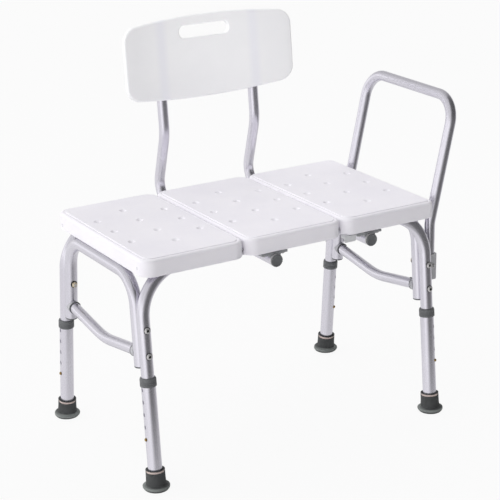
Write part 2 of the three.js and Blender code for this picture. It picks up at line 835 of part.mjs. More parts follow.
// ------------------------------------------------------------------ arm rail
const RAIL = 11.1; // outer radius
const RAIL_WALL = 1.4;
const RAIL_X = 359.5; // lower, upright ends
const RAIL_Y = 151;
const RAIL_LEAN = 0.226; // outward slope above the kink
const RAIL_KINK = 406;
const RAIL_TOP = 665;
const KINK_BEND = 70;
const RAIL_BEND = 53;
const BRACKET_LOW = 283;
const BRACKET_HIGH = 340;
const BRACKET_HALF_X = 13.2;
const BRACKET_HALF_Y = 13.6;
const BRACKET_SHIFT = -0.6; // bracket's middle from the rail's axis, along X
const BRACKET_CORNER = 6;
const BRACKET_FLOOR = BRACKET_LOW + 6; // bottom of the rail's socket
const RAIL_BOLT_Z = 314;
const RAIL_BOLT = 2.5; // radius
const RAIL_BOLT_HOLE = 2.9;

const railBoltLine = (y) => vec(RAIL_X, y, RAIL_BOLT_Z);
const railBoltHole = (front, reach) =>
  rod(RAIL_BOLT_HOLE, railBoltLine, ...around(front * RAIL_Y, reach), 8);

function armRail() {
  const topX = RAIL_X + RAIL_LEAN * (RAIL_TOP - RAIL_KINK);
  const lowEnd = BRACKET_FLOOR + 0.5;
  const corners = [
    vec(RAIL_X, -RAIL_Y, lowEnd),
    vec(RAIL_X, -RAIL_Y, RAIL_KINK),
    vec(topX, -RAIL_Y, RAIL_TOP),
    vec(topX, RAIL_Y, RAIL_TOP),
    vec(RAIL_X, RAIL_Y, RAIL_KINK),
    vec(RAIL_X, RAIL_Y, lowEnd),
  ];
  const route = new Route(corners, [KINK_BEND, RAIL_BEND, RAIL_BEND, KINK_BEND]);
  return cut(swept(route, RAIL, RAIL_WALL), railBoltHole(-1, 20), railBoltHole(1, 20));
}

// A rounded block, hollowed to sit against the end frame's leg.
function railBracket(front) {
  const y = front * RAIL_Y;
  const ring = (z) =>
    rounded(BRACKET_HALF_X, BRACKET_HALF_Y, BRACKET_CORNER).map(([planX, planY]) => [
      planX + RAIL_X + BRACKET_SHIFT,
      planY + y,
      z,
    ]);
  const leg = legLine(1, front, END_INSET);
  return cut(
    stacked([ring(BRACKET_LOW), ring(BRACKET_HIGH)]),
    rod(RAIL + 0.4, (z) => vec(RAIL_X, y, z), BRACKET_FLOOR, BRACKET_HIGH + PAST),
    rod(TUBE + 0.35, leg, BRACKET_LOW - 30, BRACKET_HIGH + 30),
    railBoltHole(front, 25),
  );
}

// Cross bolt of a bracket, with its head on the outer side.
function railBolt(front) {
  const profile = [
    [0, -27],
    [RAIL_BOLT, -27],
    [RAIL_BOLT, 0],
    [5, 0],
    [5, 1.2],
    [3.6, 2.8],
    [0, 2.8],
  ];
  const face = front * (RAIL_Y + BRACKET_HALF_Y + FIT);
  return turned(profile, railBoltLine, face, { sense: front, sides: 10 });
}

piece("arm_rail", armRail(), LOOK.tube);
FRONTS.forEach(([name, front]) => {
  piece(`${name}_rail_bracket`, railBracket(front), LOOK.strap);
  piece(`${name}_rail_bolt`, railBolt(front), LOOK.steel);
});

export default root;
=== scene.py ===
"""A bench seat of three moulded panels on a tubular frame, with four telescopic legs on rubber
feet, a backrest on two supports and an arm rail on the right.

Layout millimetres: x runs to the right, y to the rear and z up, about the middle of the seat.
"""
import math

import bpy
import numpy as np
from mathutils import Matrix, Vector

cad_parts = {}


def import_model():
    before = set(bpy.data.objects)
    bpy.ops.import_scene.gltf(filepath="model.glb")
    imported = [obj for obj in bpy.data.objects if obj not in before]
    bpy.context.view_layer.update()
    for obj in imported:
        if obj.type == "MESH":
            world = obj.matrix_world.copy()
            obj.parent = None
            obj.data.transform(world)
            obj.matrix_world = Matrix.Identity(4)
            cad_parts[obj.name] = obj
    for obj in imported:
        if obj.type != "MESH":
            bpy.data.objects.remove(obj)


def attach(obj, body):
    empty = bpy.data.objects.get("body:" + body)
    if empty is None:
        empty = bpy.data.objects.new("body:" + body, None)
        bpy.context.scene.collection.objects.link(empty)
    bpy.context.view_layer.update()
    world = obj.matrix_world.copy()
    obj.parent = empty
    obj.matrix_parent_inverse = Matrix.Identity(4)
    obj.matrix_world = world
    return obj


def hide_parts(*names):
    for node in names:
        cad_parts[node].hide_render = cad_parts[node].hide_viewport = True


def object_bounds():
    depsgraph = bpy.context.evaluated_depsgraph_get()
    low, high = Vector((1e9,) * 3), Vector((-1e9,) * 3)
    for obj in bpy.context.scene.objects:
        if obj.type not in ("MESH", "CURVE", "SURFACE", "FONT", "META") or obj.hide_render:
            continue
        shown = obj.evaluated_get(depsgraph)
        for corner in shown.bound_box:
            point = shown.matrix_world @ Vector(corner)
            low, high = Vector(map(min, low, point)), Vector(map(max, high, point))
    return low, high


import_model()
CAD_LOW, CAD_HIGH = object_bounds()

# ---------------------------------------------------------------- dimensions
# Tubes, bars and bolts are given by their radii.
GROUND = 2.0
ORIGIN = np.array([34.18, 32.11, GROUND])  # the layout point that becomes the scene's origin

# seat
SEAT_LENGTH, SEAT_DEPTH, SEAT_TOP, SEAT_EDGE = 680.0, 384.0, 468.0, 35.0
SEAT_LOW = SEAT_TOP - SEAT_EDGE
PANEL_PITCH = SEAT_LENGTH / 3
SEAM, CORNER, RIGHT_CORNER = 2.4, 26.0, 16.0
RIGHT_EXTRA = 3.0  # the right panel is this much longer
DRAIN_X, DRAIN_PITCH = 76.0, 74.0

# legs and frame; SPLAY is how far a leg moves out in y for each unit down
TUBE, WALL = 12.7, 1.2
LEG_X, LEG_FOOT_Y, SPLAY = 333.5, 201.5, 0.0898
LEAN = math.hypot(1, SPLAY)
LONG_TOP, LONG_BEND, LONG_CUT = 441.0, 95.0, 86.0
END_TOP, END_BEND, END_INSET, END_CUT = 420.0, 60.0, 26.0, 244.5
BOLT, BOLT_HIGH, BOLT_LOW = 3.0, 325.5, 274.0

# end braces; BRACE_IN runs from a leg's axis to the brace's end
BRACE, BRACE_END_Y, BRACE_DROP, BRACE_BEND = 11.1, 133.5, 21.0, 190.0
BRACE_IN = (LEG_FOOT_Y - SPLAY * BOLT_LOW - BRACE_END_Y) * LEAN
BRACE_Z = BOLT_LOW - SPLAY * BRACE_IN / LEAN
SADDLE = BRACE + 1.6

# leg extensions
EXTENSION, EXTENSION_BORE, EXTENSION_TOP, EXTENSION_LOW = 14.3, 13.0, 224.0, 12.0
COLLAR, COLLAR_LOW, COLLAR_TOP = 16.3, 212.5, 230.5
HOLE_PITCH = 25.4
LEFT_BUTTON_Z, RIGHT_BUTTON_Z = 105.5, 114.5
LEFT_BUTTON_ANGLE, RIGHT_BUTTON_ANGLE = 180, -50  # in plan, from +x
LEFT_HOLES, RIGHT_HOLES = 5, 4

# backrest, its two supports and their receivers
SUPPORT, SUPPORT_WALL = 11.1, 1.2
BACK_X = (-48.8, 177.8)
BACKS = tuple(zip(("left", "right"), BACK_X))
BACK_MID_X = sum(BACK_X) / 2
BACK_HALF_X = (BACK_X[1] - BACK_X[0]) / 2
BACK_Z, SUPPORT_TOP, RECLINE = 415.2, 798, 0.1
RECEIVER_FRONT, RECEIVER_REAR, RECEIVER_BORE = -190.5, 188.0, 11.5
STRAP_LOW, STRAP_HIGH = 426.6, 431.2
PANEL_HALF, PANEL_RISE, PANEL_ARCH, PANEL_CORNER = 206.0, 89.1, 7.6, 34.0
PANEL_THICK, PANEL_BOW, PANEL_ROUND = 12.0, 1415.0, 5.2
PANEL_Y, PANEL_Z = 255.0, 729.6
SLOT_MID, SLOT_HALF, SLOT_LOW, SLOT_HIGH = -5.6, 64.1, 37.0, 71.0

# arm rail and its brackets; RAIL_LEAN is how far it moves out in x for each unit up
RAIL, RAIL_WALL, RAIL_X, RAIL_Y = 11.1, 1.4, 359.5, 151.0
RAIL_LEAN, RAIL_KINK, RAIL_TOP, RAIL_BEND, RAIL_KINK_BEND = 0.226, 406.0, 665.0, 53.0, 70
BRACKET_LOW, BRACKET_HIGH, RAIL_BOLT_Z = 283.0, 340.0, 314.0

SIDES = (("left", -1), ("right", 1))
ENDS = (("front", -1), ("rear", 1))


def v3(x, y, z):
    return np.array([x, y, z], float)


def unit(vector):
    vector = np.asarray(vector, float)
    return vector / np.linalg.norm(vector)


def leg_y(end, z, inset=0.0):
    return end * (LEG_FOOT_Y - SPLAY * z - inset)


class Leg:
    """The axis of one leg. side is -1 at the left, end is -1 at the front."""

    def __init__(self, side_name, side, end_name, end):
        self.side, self.end = side, end
        self.key = f"{end_name}_{side_name}"
        self.tag = self.key.title()
        self.up = unit([0, -end * SPLAY, 1])
        self.out = unit([0, end, SPLAY])  # along the leg's bolts, square to the leg
        self.stretch = 1 / self.up[2]  # length along the leg for each unit of height

    def at(self, z, inset=0.0):
        return v3(self.side * LEG_X, leg_y(self.end, z, inset), z)

    def bolt_at(self, z, out):
        """A place on a leg bolt, so far outwards from the leg's axis."""
        return self.at(z) + self.out * out


LEGS = {(side, end): Leg(side_name, side, end_name, end)
        for side_name, side in SIDES for end_name, end in ENDS}


# ---------------------------------------------------------------- shader nodes
class Shader:
    """A cleared node tree with short ways to add to it."""

    def __init__(self, owner):
        owner.use_nodes = True
        self.tree = owner.node_tree
        self.tree.nodes.clear()

    def node(self, kind, inputs=None, **settings):
        """A node whose inputs are either linked to a socket or given a value."""
        made = self.tree.nodes.new("ShaderNode" + kind)
        for key, value in settings.items():
            setattr(made, key, value)
        for key, value in (inputs or {}).items():
            if isinstance(value, bpy.types.NodeSocket):
                self.tree.links.new(value, made.inputs[key])
            else:
                made.inputs[key].default_value = value
        return made

    def maths(self, operation, a, b):
        return self.node("Math", {0: a, 1: b}, operation=operation).outputs[0]

    def remap(self, value, low, high, start=0.3, stop=0.7, curve="LINEAR"):
        """Goes from low to high as the value goes from start to stop."""
        return self.node("MapRange", {"Value": value, "From Min": start, "From Max": stop,
                                      "To Min": low, "To Max": high},
                         interpolation_type=curve).outputs["Result"]

    def noise(self, place, scale, detail, roughness=0.55):
        return self.node("TexNoise", {"Vector": place, "Scale": scale, "Detail": detail,
                                      "Roughness": roughness}).outputs["Fac"]

    def tint(self, amount, colour, other, blend="MIX"):
        return self.node("Mix", {"A": colour, "B": other, "Factor": amount},
                         data_type="RGBA", blend_type=blend).outputs["Result"]

    def lobe(self, vector, direction, away, towards, start, stop, flat=False):
        """A soft step as a vector turns towards a direction; flat ignores its height."""
        if flat:
            level = self.node("VectorMath", {0: vector, 1: (1, 1, 0)}, operation="MULTIPLY")
            vector = self.node("VectorMath", {0: level.outputs[0]},
                               operation="NORMALIZE").outputs[0]
        dot = self.node("VectorMath", {0: vector, 1: tuple(unit(direction))},
                        operation="DOT_PRODUCT")
        return self.remap(dot.outputs["Value"], away, towards, start, stop, "SMOOTHSTEP")


def srgb(tone):
    def linear(level):
        level /= 255.0
        return level / 12.92 if level <= 0.04045 else ((level + 0.055) / 1.055) ** 2.4
    return tuple(linear(level) for level in tone) + (1.0,)


# ---------------------------------------------------------------- materials
DUST_TONE = (120, 120, 118)
DRAWN_SHADE = (0.93, 0.93, 0.94, 1)


def scratch_lines(net, place, depth):
    """Fine stretched cracks, gathered in patches."""
    stretched = net.node("Mapping", {"Vector": place, "Scale": (1.0, 1.0, 0.12),
                                     "Rotation": (0.5, 0.9, 0.2)})
    cracks = net.node("TexVoronoi", {"Vector": stretched.outputs["Vector"], "Scale": 55.0},
                      feature="DISTANCE_TO_EDGE")
    line = net.remap(cracks.outputs["Distance"], depth, 0.0, start=0.0, stop=0.012)
    patch = net.remap(net.noise(place, scale=6.0, detail=2.0), 0, 1, start=0.52, stop=0.62)
    return net.maths("MULTIPLY", line, patch)


def dust_cover(net, place, amount):
    """Patches of dust in the hollows."""
    hollow = net.remap(net.node("NewGeometry").outputs["Pointiness"], 1.0, 0.0,
                       start=0.42, stop=0.5)
    patch = net.remap(net.noise(place, scale=40.0, detail=4.0), 0, 1, start=0.4, stop=0.65)
    return net.maths("MULTIPLY", net.maths("MULTIPLY", hollow, patch), amount)


def band_cover(net, place, fine, axis, low, high, soft):
    """Covers what lies between two places along one of the object's axes."""
    along = net.node("SeparateXYZ", {0: place}).outputs[axis]
    inside = net.maths("MULTIPLY", net.remap(along, 0, 1, low - soft, low + soft),
                       net.remap(along, 1, 0, high - soft, high + soft))
    return net.maths("MULTIPLY", inside, net.remap(fine, 0.8, 1.0))


def material(name, tone, mottle, roughness, roughness_span=0.1, metal=0.0, *, grain, bump,
             blotch, specular=0.5, drawn=0.0, scratches=0.0, dust=0.0, bands=(), edge=None):
    """A mottled surface. Tones are 0-255 sRGB.

    grain and blotch are the scales of the fine and the coarse mottling, bump the grain's relief.
    drawn is the number of lines round a drawn tube; scratches is the roughness they add.
    bands are (axis, low, high, softness, tone) in metres; edge is a painted shade, the tone taken
    by surfaces turned away from the camera.
    """
    made = bpy.data.materials.new(name)
    net = Shader(made)
    coords = net.node("TexCoord")
    place = coords.outputs["Object"]
    coarse = net.noise(place, blotch, detail=3.0)
    fine = net.noise(place, grain, detail=5.0, roughness=0.6)

    share = net.maths("ADD", net.maths("MULTIPLY", net.remap(coarse, 0, 1), 0.65),
                      net.maths("MULTIPLY", net.remap(fine, 0, 1), 0.35))
    colour = net.tint(share, srgb(tone), srgb(mottle))
    half = roughness_span / 2
    rough = net.maths("ADD", net.remap(coarse, roughness - half, roughness + half),
                      net.remap(fine, -0.02, 0.02))
    if drawn:
        # the sweep's UV runs round the tube and then along it
        wrapped = net.node("Mapping", {"Vector": coords.outputs["UV"],
                                       "Scale": (drawn, 3.0, 1.0)}).outputs["Vector"]
        lines = net.noise(wrapped, scale=1.0, detail=6.0, roughness=0.7)
        rough = net.maths("ADD", rough, net.remap(lines, -0.035, 0.035))
        height = net.maths("ADD", net.maths("MULTIPLY", fine, 0.35),
                           net.maths("MULTIPLY", lines, 0.65))
        colour = net.tint(net.remap(lines, 0, 0.8, start=0.45, stop=0.7), colour, DRAWN_SHADE,
                          "MULTIPLY")
    else:
        height = net.maths("MULTIPLY", fine, 1.0)
    if scratches:
        rough = net.maths("ADD", rough, scratch_lines(net, place, scratches))
    if dust:
        colour = net.tint(dust_cover(net, place, dust), colour, srgb(DUST_TONE))
    for axis, low, high, soft, band_tone in bands:
        cover = band_cover(net, place, fine, axis, low, high, soft)
        colour = net.tint(cover, colour, srgb(band_tone))
    # painted shade: surfaces turned away from the camera fade to the edge tone
    if edge:
        facing = net.node("LayerWeight", {"Blend": 0.5}).outputs["Facing"]
        colour = net.tint(net.remap(facing, 0, 1, start=0.45, stop=0.75), colour, srgb(edge))

    relief = net.node("Bump", {"Strength": bump, "Distance": 0.0006, "Height": height})
    surface = net.node("BsdfPrincipled", {
        "Base Color": colour, "Roughness": rough, "Normal": relief.outputs["Normal"],
        "Metallic": metal, "Specular IOR Level": specular, "Coat Roughness": 0.25})
    net.node("OutputMaterial", {0: surface.outputs[0]})
    made.diffuse_color = srgb(tone)
    return made


SEAT_PLASTIC = material("seat_moulded", tone=(243, 241, 246), mottle=(235, 233, 240),
                        roughness=0.5, grain=620.0, bump=0.22, blotch=9.0, specular=0.42)
PLUG_PLASTIC = material("end_plug", tone=(214, 213, 217), mottle=(200, 199, 204),
                        roughness=0.55, grain=900.0, bump=0.2, blotch=60.0, specular=0.4,
                        dust=0.3)
# painted shade: the panel is a little darker in front of its supports, where they show through it;
# its tone is also set a little brighter than the seat's as painted light
BACK_PLASTIC = material("backrest_moulded", tone=(249, 249, 250), mottle=(243, 243, 245),
                        roughness=0.46, grain=520.0, bump=0.12, blotch=8.0, specular=0.45,
                        bands=[("X", (x - ORIGIN[0] - 11.0) / 1000, (x - ORIGIN[0] + 11.0) / 1000,
                                0.007, (241, 241, 246)) for x in BACK_X])
TUBE_METAL = material("anodised_tube", tone=(232, 230, 238), mottle=(221, 219, 228),
                      roughness=0.27, roughness_span=0.05, metal=0.95, grain=1500.0, bump=0.05,
                      blotch=6.0, drawn=90.0, scratches=0.06)
STRAP_METAL = material("satin_strap", tone=(180, 182, 185), mottle=(164, 166, 170),
                       roughness=0.42, metal=0.4, grain=1200.0, bump=0.1, blotch=25.0,
                       scratches=0.08)
BRACKET_METAL = material("cast_bracket", tone=(206, 206, 209), mottle=(192, 193, 197),
                         roughness=0.5, metal=0.3, grain=1400.0, bump=0.3, blotch=40.0)
SADDLE_GREY = material("grey_saddle", tone=(196, 196, 200), mottle=(180, 181, 185),
                       roughness=0.45, metal=0.25, grain=1300.0, bump=0.25, blotch=60.0,
                       dust=0.2)
TAB_METAL = material("pale_tab", tone=(230, 231, 233), mottle=(216, 217, 220),
                     roughness=0.45, metal=0.2, grain=1100.0, bump=0.2, blotch=50.0)
DARK_PLASTIC = material("dark_plastic", tone=(110, 112, 114), mottle=(94, 96, 98),
                        roughness=0.5, roughness_span=0.14, grain=1100.0, bump=0.25,
                        blotch=45.0, dust=0.25)
# the pale band round the base of the foot is a painted highlight, where the smooth rubber reflects
# the light
RUBBER = material("grey_rubber", tone=(74, 76, 77), mottle=(61, 63, 63),
                  roughness=0.66, roughness_span=0.14, grain=900.0, bump=0.4, blotch=55.0,
                  dust=0.35, specular=0.4,
                  bands=[("Z", 0.0043, 0.0096, 0.0012, (134, 139, 137))])
# painted sheen and shade: pale where it faces the camera, dark where it turns away
BAND = material("painted_sheen_band", tone=(208, 192, 186), mottle=(186, 170, 164),
                roughness=0.5, roughness_span=0.12, grain=1500.0, bump=0.3, blotch=90.0,
                edge=(92, 88, 86))
# black washers, and also the painted shade inside the bolt sockets
SEAL = material("black_seal_and_socket_shade", tone=(38, 38, 40), mottle=(26, 26, 28),
                roughness=0.5, roughness_span=0.12, grain=1600.0, bump=0.2, blotch=120.0,
                specular=0.3)
STEEL = material("plated_steel", tone=(205, 205, 208), mottle=(180, 180, 184),
                 roughness=0.22, metal=1.0, grain=2200.0, bump=0.06, blotch=120.0)
NUT_METAL = material("warm_nut", tone=(224, 212, 188), mottle=(204, 190, 164),
                     roughness=0.32, metal=0.45, grain=1900.0, bump=0.08, blotch=120.0)
BOLT_METAL = material("zinc_bolt", tone=(212, 211, 211), mottle=(192, 191, 191),
                      roughness=0.34, metal=0.5, grain=2000.0, bump=0.06, blotch=120.0)
BRASS = material("yellow_brass", tone=(178, 148, 92), mottle=(150, 122, 72),
                 roughness=0.3, roughness_span=0.12, metal=1.0, grain=1800.0, bump=0.08,
                 blotch=150.0)


# ---------------------------------------------------------------- objects from solids
# A solid is (vertices, faces) or (vertices, faces, uvs), in layout millimetres.
def finish(mesh, mat, smooth):
    """Smooth shading, with edges over so many degrees kept sharp, and the one material."""
    mesh.polygons.foreach_set("use_smooth", [True] * len(mesh.polygons))
    mesh.set_sharp_from_angle(angle=math.radians(smooth))
    mesh.materials.clear()
    mesh.materials.append(mat)
    mesh.update()


def link(name, data):
    obj = bpy.data.objects.new(name, data)
    bpy.context.scene.collection.objects.link(obj)
    return obj


def make(name, solid, mat, smooth=32.0):
    verts, faces, *uvs = solid
    mesh = bpy.data.meshes.new(name)
    placed = (np.asarray(verts, float) - ORIGIN) * 0.001
    mesh.from_pydata(placed.tolist(), [], [list(map(int, face)) for face in faces])
    if uvs:
        layer = mesh.uv_layers.new(name="UVMap")
        layer.data.foreach_set("uv", np.asarray(uvs[0], np.float32).ravel())
    finish(mesh, mat, smooth)
    return link(name, mesh)


def cutter(solid):
    """A passing object for boolean to use up."""
    return make("cutter", solid, DARK_PLASTIC)


def boolean(obj, cutters, operation="DIFFERENCE", smooth=32.0):
    """Cuts the cutters from obj, or joins them to it, and removes them."""
    for other in cutters:
        modifier = obj.modifiers.new("b", "BOOLEAN")
        modifier.operation = operation
        modifier.object = other
        modifier.solver = "EXACT"
    graph = bpy.context.evaluated_depsgraph_get()
    mesh = bpy.data.meshes.new_from_object(obj.evaluated_get(graph))
    mat = obj.data.materials[0]
    obj.modifiers.clear()
    obj.data = mesh
    finish(mesh, mat, smooth)
    for other in cutters:
        bpy.data.objects.remove(other)
    return obj


def fit(obj, node=None, body="frame"):
    """Ties a finished piece to its body and the CAD node it replaces."""
    if obj.get("flat_faces"):
        modifier = obj.modifiers.new("Even_Flats", "WEIGHTED_NORMAL")
        modifier.keep_sharp = True
        modifier.weight = 50
    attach(obj, body)
    if node:
        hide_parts(node)


# ---------------------------------------------------------------- solids
def rings(stack, loop=False):
    """Quads between rings of equal count; capped at both ends, or looped back to the start."""
    count, rows = len(stack[0]), len(stack)
    verts = np.concatenate([np.asarray(ring, float) for ring in stack])
    faces = []
    for row in range(rows if loop else rows - 1):
        here, there = row * count, ((row + 1) % rows) * count
        for i in range(count):
            j = (i + 1) % count
            faces.append((here + i, here + j, there + j, there + i))
    if not loop:
        faces.append(tuple(range(count - 1, -1, -1)))
        faces.append(tuple((rows - 1) * count + i for i in range(count)))
    return verts, faces


def orient(verts, faces):
    """Turns the faces so that the solid's volume is positive."""
    volume = 0.0
    for face in faces:
        for i in range(1, len(face) - 1):
            normal = np.cross(verts[face[i]], verts[face[i + 1]])
            volume += np.dot(verts[face[0]], normal)
    if volume > 0:
        return verts, faces
    return verts, [tuple(reversed(face)) for face in faces]


def turned(profile, origin, axis, count, shape=None):
    """A solid of revolution with count points round.

    The profile is (radius, height) pairs that start and end on the axis, or close on themselves.
    shape(angle, radius, height) can change the radius round the axis.
    """
    up = unit(axis)
    hint = v3(1, 0, 0) if abs(up[0]) < 0.9 else v3(0, 1, 0)
    side = unit(hint - up * (hint @ up))
    across = np.cross(up, side)
    origin = np.asarray(origin, float)
    closed = profile[0] == profile[-1]
    verts, index = [], []
    for radius, height in profile[:-1] if closed else profile:
        if radius == 0:
            index.append([len(verts)])
            verts.append(origin + up * height)
            continue
        row = []
        for i in range(count):
            angle = 2 * math.pi * i / count
            reach = shape(angle, radius, height) if shape else radius
            row.append(len(verts))
            verts.append(origin + side * (reach * math.cos(angle))
                         + across * (reach * math.sin(angle)) + up * height)
        index.append(row)
    faces = []
    for low, high in list(zip(index, index[1:])) + ([(index[-1], index[0])] if closed else []):
        for i in range(count):
            j = (i + 1) % count
            if len(low) == 1:
                faces.append((low[0], high[j], high[i]))
            elif len(high) == 1:
                faces.append((low[i], low[j], high[0]))
            else:
                faces.append((low[i], low[j], high[j], high[i]))
    return orient(np.array(verts), faces)


def rod(radius, start, stop, count=40):
    start, stop = np.asarray(start, float), np.asarray(stop, float)
    length = float(np.linalg.norm(stop - start))
    profile = [(0, 0), (radius, 0), (radius, length), (0, length)]
    return cutter(turned(profile, start, stop - start, count))


def block(x0, x1, y0, y1, z0, z1):
    verts = [(x, y, z) for z in (z0, z1) for x, y in ((x0, y0), (x1, y0), (x1, y1), (x0, y1))]
    faces = [(3, 2, 1, 0), (4, 5, 6, 7), (0, 1, 5, 4), (1, 2, 6, 5), (2, 3, 7, 6), (3, 0, 4, 7)]
    return cutter((verts, faces))


def route(corners, radii, step, spacing):
    """Points and directions along straight runs joined by true arcs.

    step is the angle between an arc's points, spacing the length of a long run's divisions.
    """
    corners = [np.asarray(corner, float) for corner in corners]
    points = [(corners[0], unit(corners[1] - corners[0]))]
    for before, corner, after, radius in zip(corners, corners[1:], corners[2:], radii):
        ahead, leaving = unit(corner - before), unit(after - corner)
        turn = math.acos(max(-1, min(1, ahead @ leaving)))
        start = corner - ahead * (radius * math.tan(turn / 2))
        inward = unit(leaving - ahead * (leaving @ ahead))
        steps = max(3, round(math.degrees(turn) / step))
        for k in range(steps + 1):
            angle = turn * k / steps
            points.append((start + ahead * radius * math.sin(angle)
                           + inward * radius * (1 - math.cos(angle)),
                           ahead * math.cos(angle) + inward * math.sin(angle)))
    points.append((corners[-1], unit(corners[-1] - corners[-2])))
    divided = [points[0]]
    for here, there in zip(points, points[1:]):
        run = np.linalg.norm(there[0] - here[0])
        if run > 2 * spacing:
            parts = int(run // spacing)
            for k in range(1, parts):
                divided.append((here[0] + (there[0] - here[0]) * k / parts,
                                unit(here[1] + (there[1] - here[1]) * k / parts)))
        divided.append(there)
    return divided


def carried_frames(path):
    """Point, direction and two cross axes at each station, turned no more than the path is."""
    frames = []
    for k, (point, ahead) in enumerate(path):
        if k == 0:
            side = v3(1, 0, 0)
        else:
            before = path[k - 1][1]
            axis = np.cross(before, ahead)
            size = np.linalg.norm(axis)
            if size > 1e-9:
                angle = math.atan2(size, float(before @ ahead))
                turn = Matrix.Rotation(angle, 3, Vector(axis / size))
                side = np.array(turn @ Vector(side))
        side = unit(side - ahead * (side @ ahead))
        frames.append((point, ahead, side, np.cross(ahead, side)))
    return frames


def sweep(path, outer, inner, count, lip):
    """A drawn tube, or a bar where inner is None, its ends broken by lip. Has UVs."""
    frames = carried_frames(path)
    run = [0.0]
    for here, there in zip(path, path[1:]):
        run.append(run[-1] + float(np.linalg.norm(there[0] - here[0])))

    def ring(k, radius, push=0.0):
        point, ahead, side, across = frames[k]
        angles = [2 * math.pi * i / count for i in range(count)]
        return [point + ahead * push + side * (radius * math.cos(angle))
                + across * (radius * math.sin(angle)) for angle in angles]

    last = len(path) - 1
    stack = [ring(0, outer - lip), ring(0, outer, lip)]
    stack += [ring(k, outer) for k in range(1, last)]
    stack += [ring(last, outer, -lip), ring(last, outer - lip)]
    along = [run[0], run[0] + lip] + run[1:-1] + [run[-1] - lip, run[-1]]
    hollow = inner is not None
    if hollow:
        stack += [ring(k, inner) for k in range(last, -1, -1)]
        along += run[::-1]
    verts, faces = rings(stack, loop=hollow)

    uvs = []
    rows = len(stack)
    for k in range(rows if hollow else rows - 1):
        low, high = along[k] / 1000, along[(k + 1) % rows] / 1000
        for i in range(count):
            left, right = i / count, (i + 1) / count
            uvs += [(left, low), (right, low), (right, high), (left, high)]
    if not hollow:
        cap = [2 * math.pi * i / count for i in range(count)]
        uvs += 2 * [(0.5 + 0.1 * math.cos(angle), 0.5 + 0.1 * math.sin(angle)) for angle in cap]
    return verts, faces, uvs


def tube(name, corners, radii, outer, inner, count, lip=0.35, step=4.0, spacing=60.0):
    return make(name, sweep(route(corners, radii, step, spacing), outer, inner, count, lip),
                TUBE_METAL)


def inset_outline(points, distance):
    """Moves an anticlockwise outline's sides inwards, with its corners mitred."""
    into, leave = points - np.roll(points, 1, 0), np.roll(points, -1, 0) - points
    into /= np.linalg.norm(into, axis=1)[:, None]
    leave /= np.linalg.norm(leave, axis=1)[:, None]
    normal = np.stack([-into[:, 1], into[:, 0]], 1)
    mitre = normal + np.stack([-leave[:, 1], leave[:, 0]], 1)
    mitre /= np.maximum(np.linalg.norm(mitre, axis=1)[:, None], 1e-9)
    reach = distance / np.maximum(0.35, (mitre * normal).sum(1))
    return points + mitre * reach[:, None]


def plate(name, outline, low, high, edge, mat, axis="y"):
    """An outline raised from low to high, its edges rounded.

    With axis y the outline is in x and z; with axis z it is in x and y.
    """
    steps = 3
    outline = np.asarray(outline, float)
    quarter = [math.pi / 2 * i / steps for i in range(steps + 1)]
    layers = [(edge * (1 - math.sin(w)), low + edge * (1 - math.cos(w))) for w in quarter]
    quarter = [math.pi / 2 * (1 - i / steps) for i in range(steps + 1)]
    layers += [(edge * (1 - math.sin(w)), high - edge * (1 - math.cos(w))) for w in quarter]
    stack = []
    for distance, level in layers:
        points = inset_outline(outline, distance)
        if axis == "z":
            stack.append([v3(x, y, level) for x, y in points])
        else:
            stack.append([v3(x, level, z) for x, z in points])
    obj = make(name, orient(*rings(stack)), mat)
    obj["flat_faces"] = True
    return obj


def arc(middle_x, middle_y, radius, start, stop, steps):
    angles = [math.radians(start + (stop - start) * i / steps) for i in range(steps + 1)]
    return [(middle_x + radius * math.cos(w), middle_y + radius * math.sin(w)) for w in angles]


def corner_arcs(corners, steps):
    """Four quarter arcs from (x, y, radius), anticlockwise from the corner at +x, +y."""
    return [point for k, (x, y, radius) in enumerate(corners)
            for point in arc(x, y, radius, 90 * k, 90 * k + 90, steps)]


# ---------------------------------------------------------------- seat panels
RIM = SEAT_TOP - 1.1
RIM_ROUND = 6.0
CHANNEL_REACH = 140  # half the length cut for a tube where it runs on into the next panel
CHANNEL_END = 4.2  # what is left at the seat's ends
CHANNEL_WIDE_X = 262  # the channel is wider beyond this, where the tube turns down

# (inset, z) of the outside, from the bottom edge over the rim and its groove to the top
PANEL_PROFILE = [
    (0.9, SEAT_LOW), (0.25, SEAT_LOW + 0.3), (0.0, SEAT_LOW + 1.2), (0.0, SEAT_LOW + 12),
    (0.0, RIM - RIM_ROUND - 6), (0.0, RIM - RIM_ROUND),
    *((RIM_ROUND * (1 - math.cos(w)), RIM - RIM_ROUND + RIM_ROUND * math.sin(w))
      for w in (math.pi / 2 * i / 8 for i in range(1, 9))),
    (7.6, RIM), (8.1, RIM - 0.15), (8.5, RIM - 0.55), (9.1, RIM - 0.75), (9.6, RIM - 0.45),
    (10.0, RIM + 0.35), (10.5, SEAT_TOP - 0.2), (11.2, SEAT_TOP), (13.5, SEAT_TOP),
    (17.0, SEAT_TOP)]
# (inset, z) of the hollow underneath
HOLLOW_PROFILE = [
    (3.6, SEAT_LOW - 4), (3.6, SEAT_LOW + 6), (4.0, SEAT_TOP - 9.0), (5.6, SEAT_TOP - 5.6),
    (9.0, SEAT_TOP - 4.2), (16, SEAT_TOP - 4.2)]
# (radius, height over the seat's top)
DRAIN_PROFILE = [
    (0, -9), (2.8, -9), (2.8, -3.5), (3.1, -3.1), (4.2, -2.4), (6.5, -0.95), (7.3, -0.35),
    (8.1, 0.0), (8.2, 2), (0, 2)]


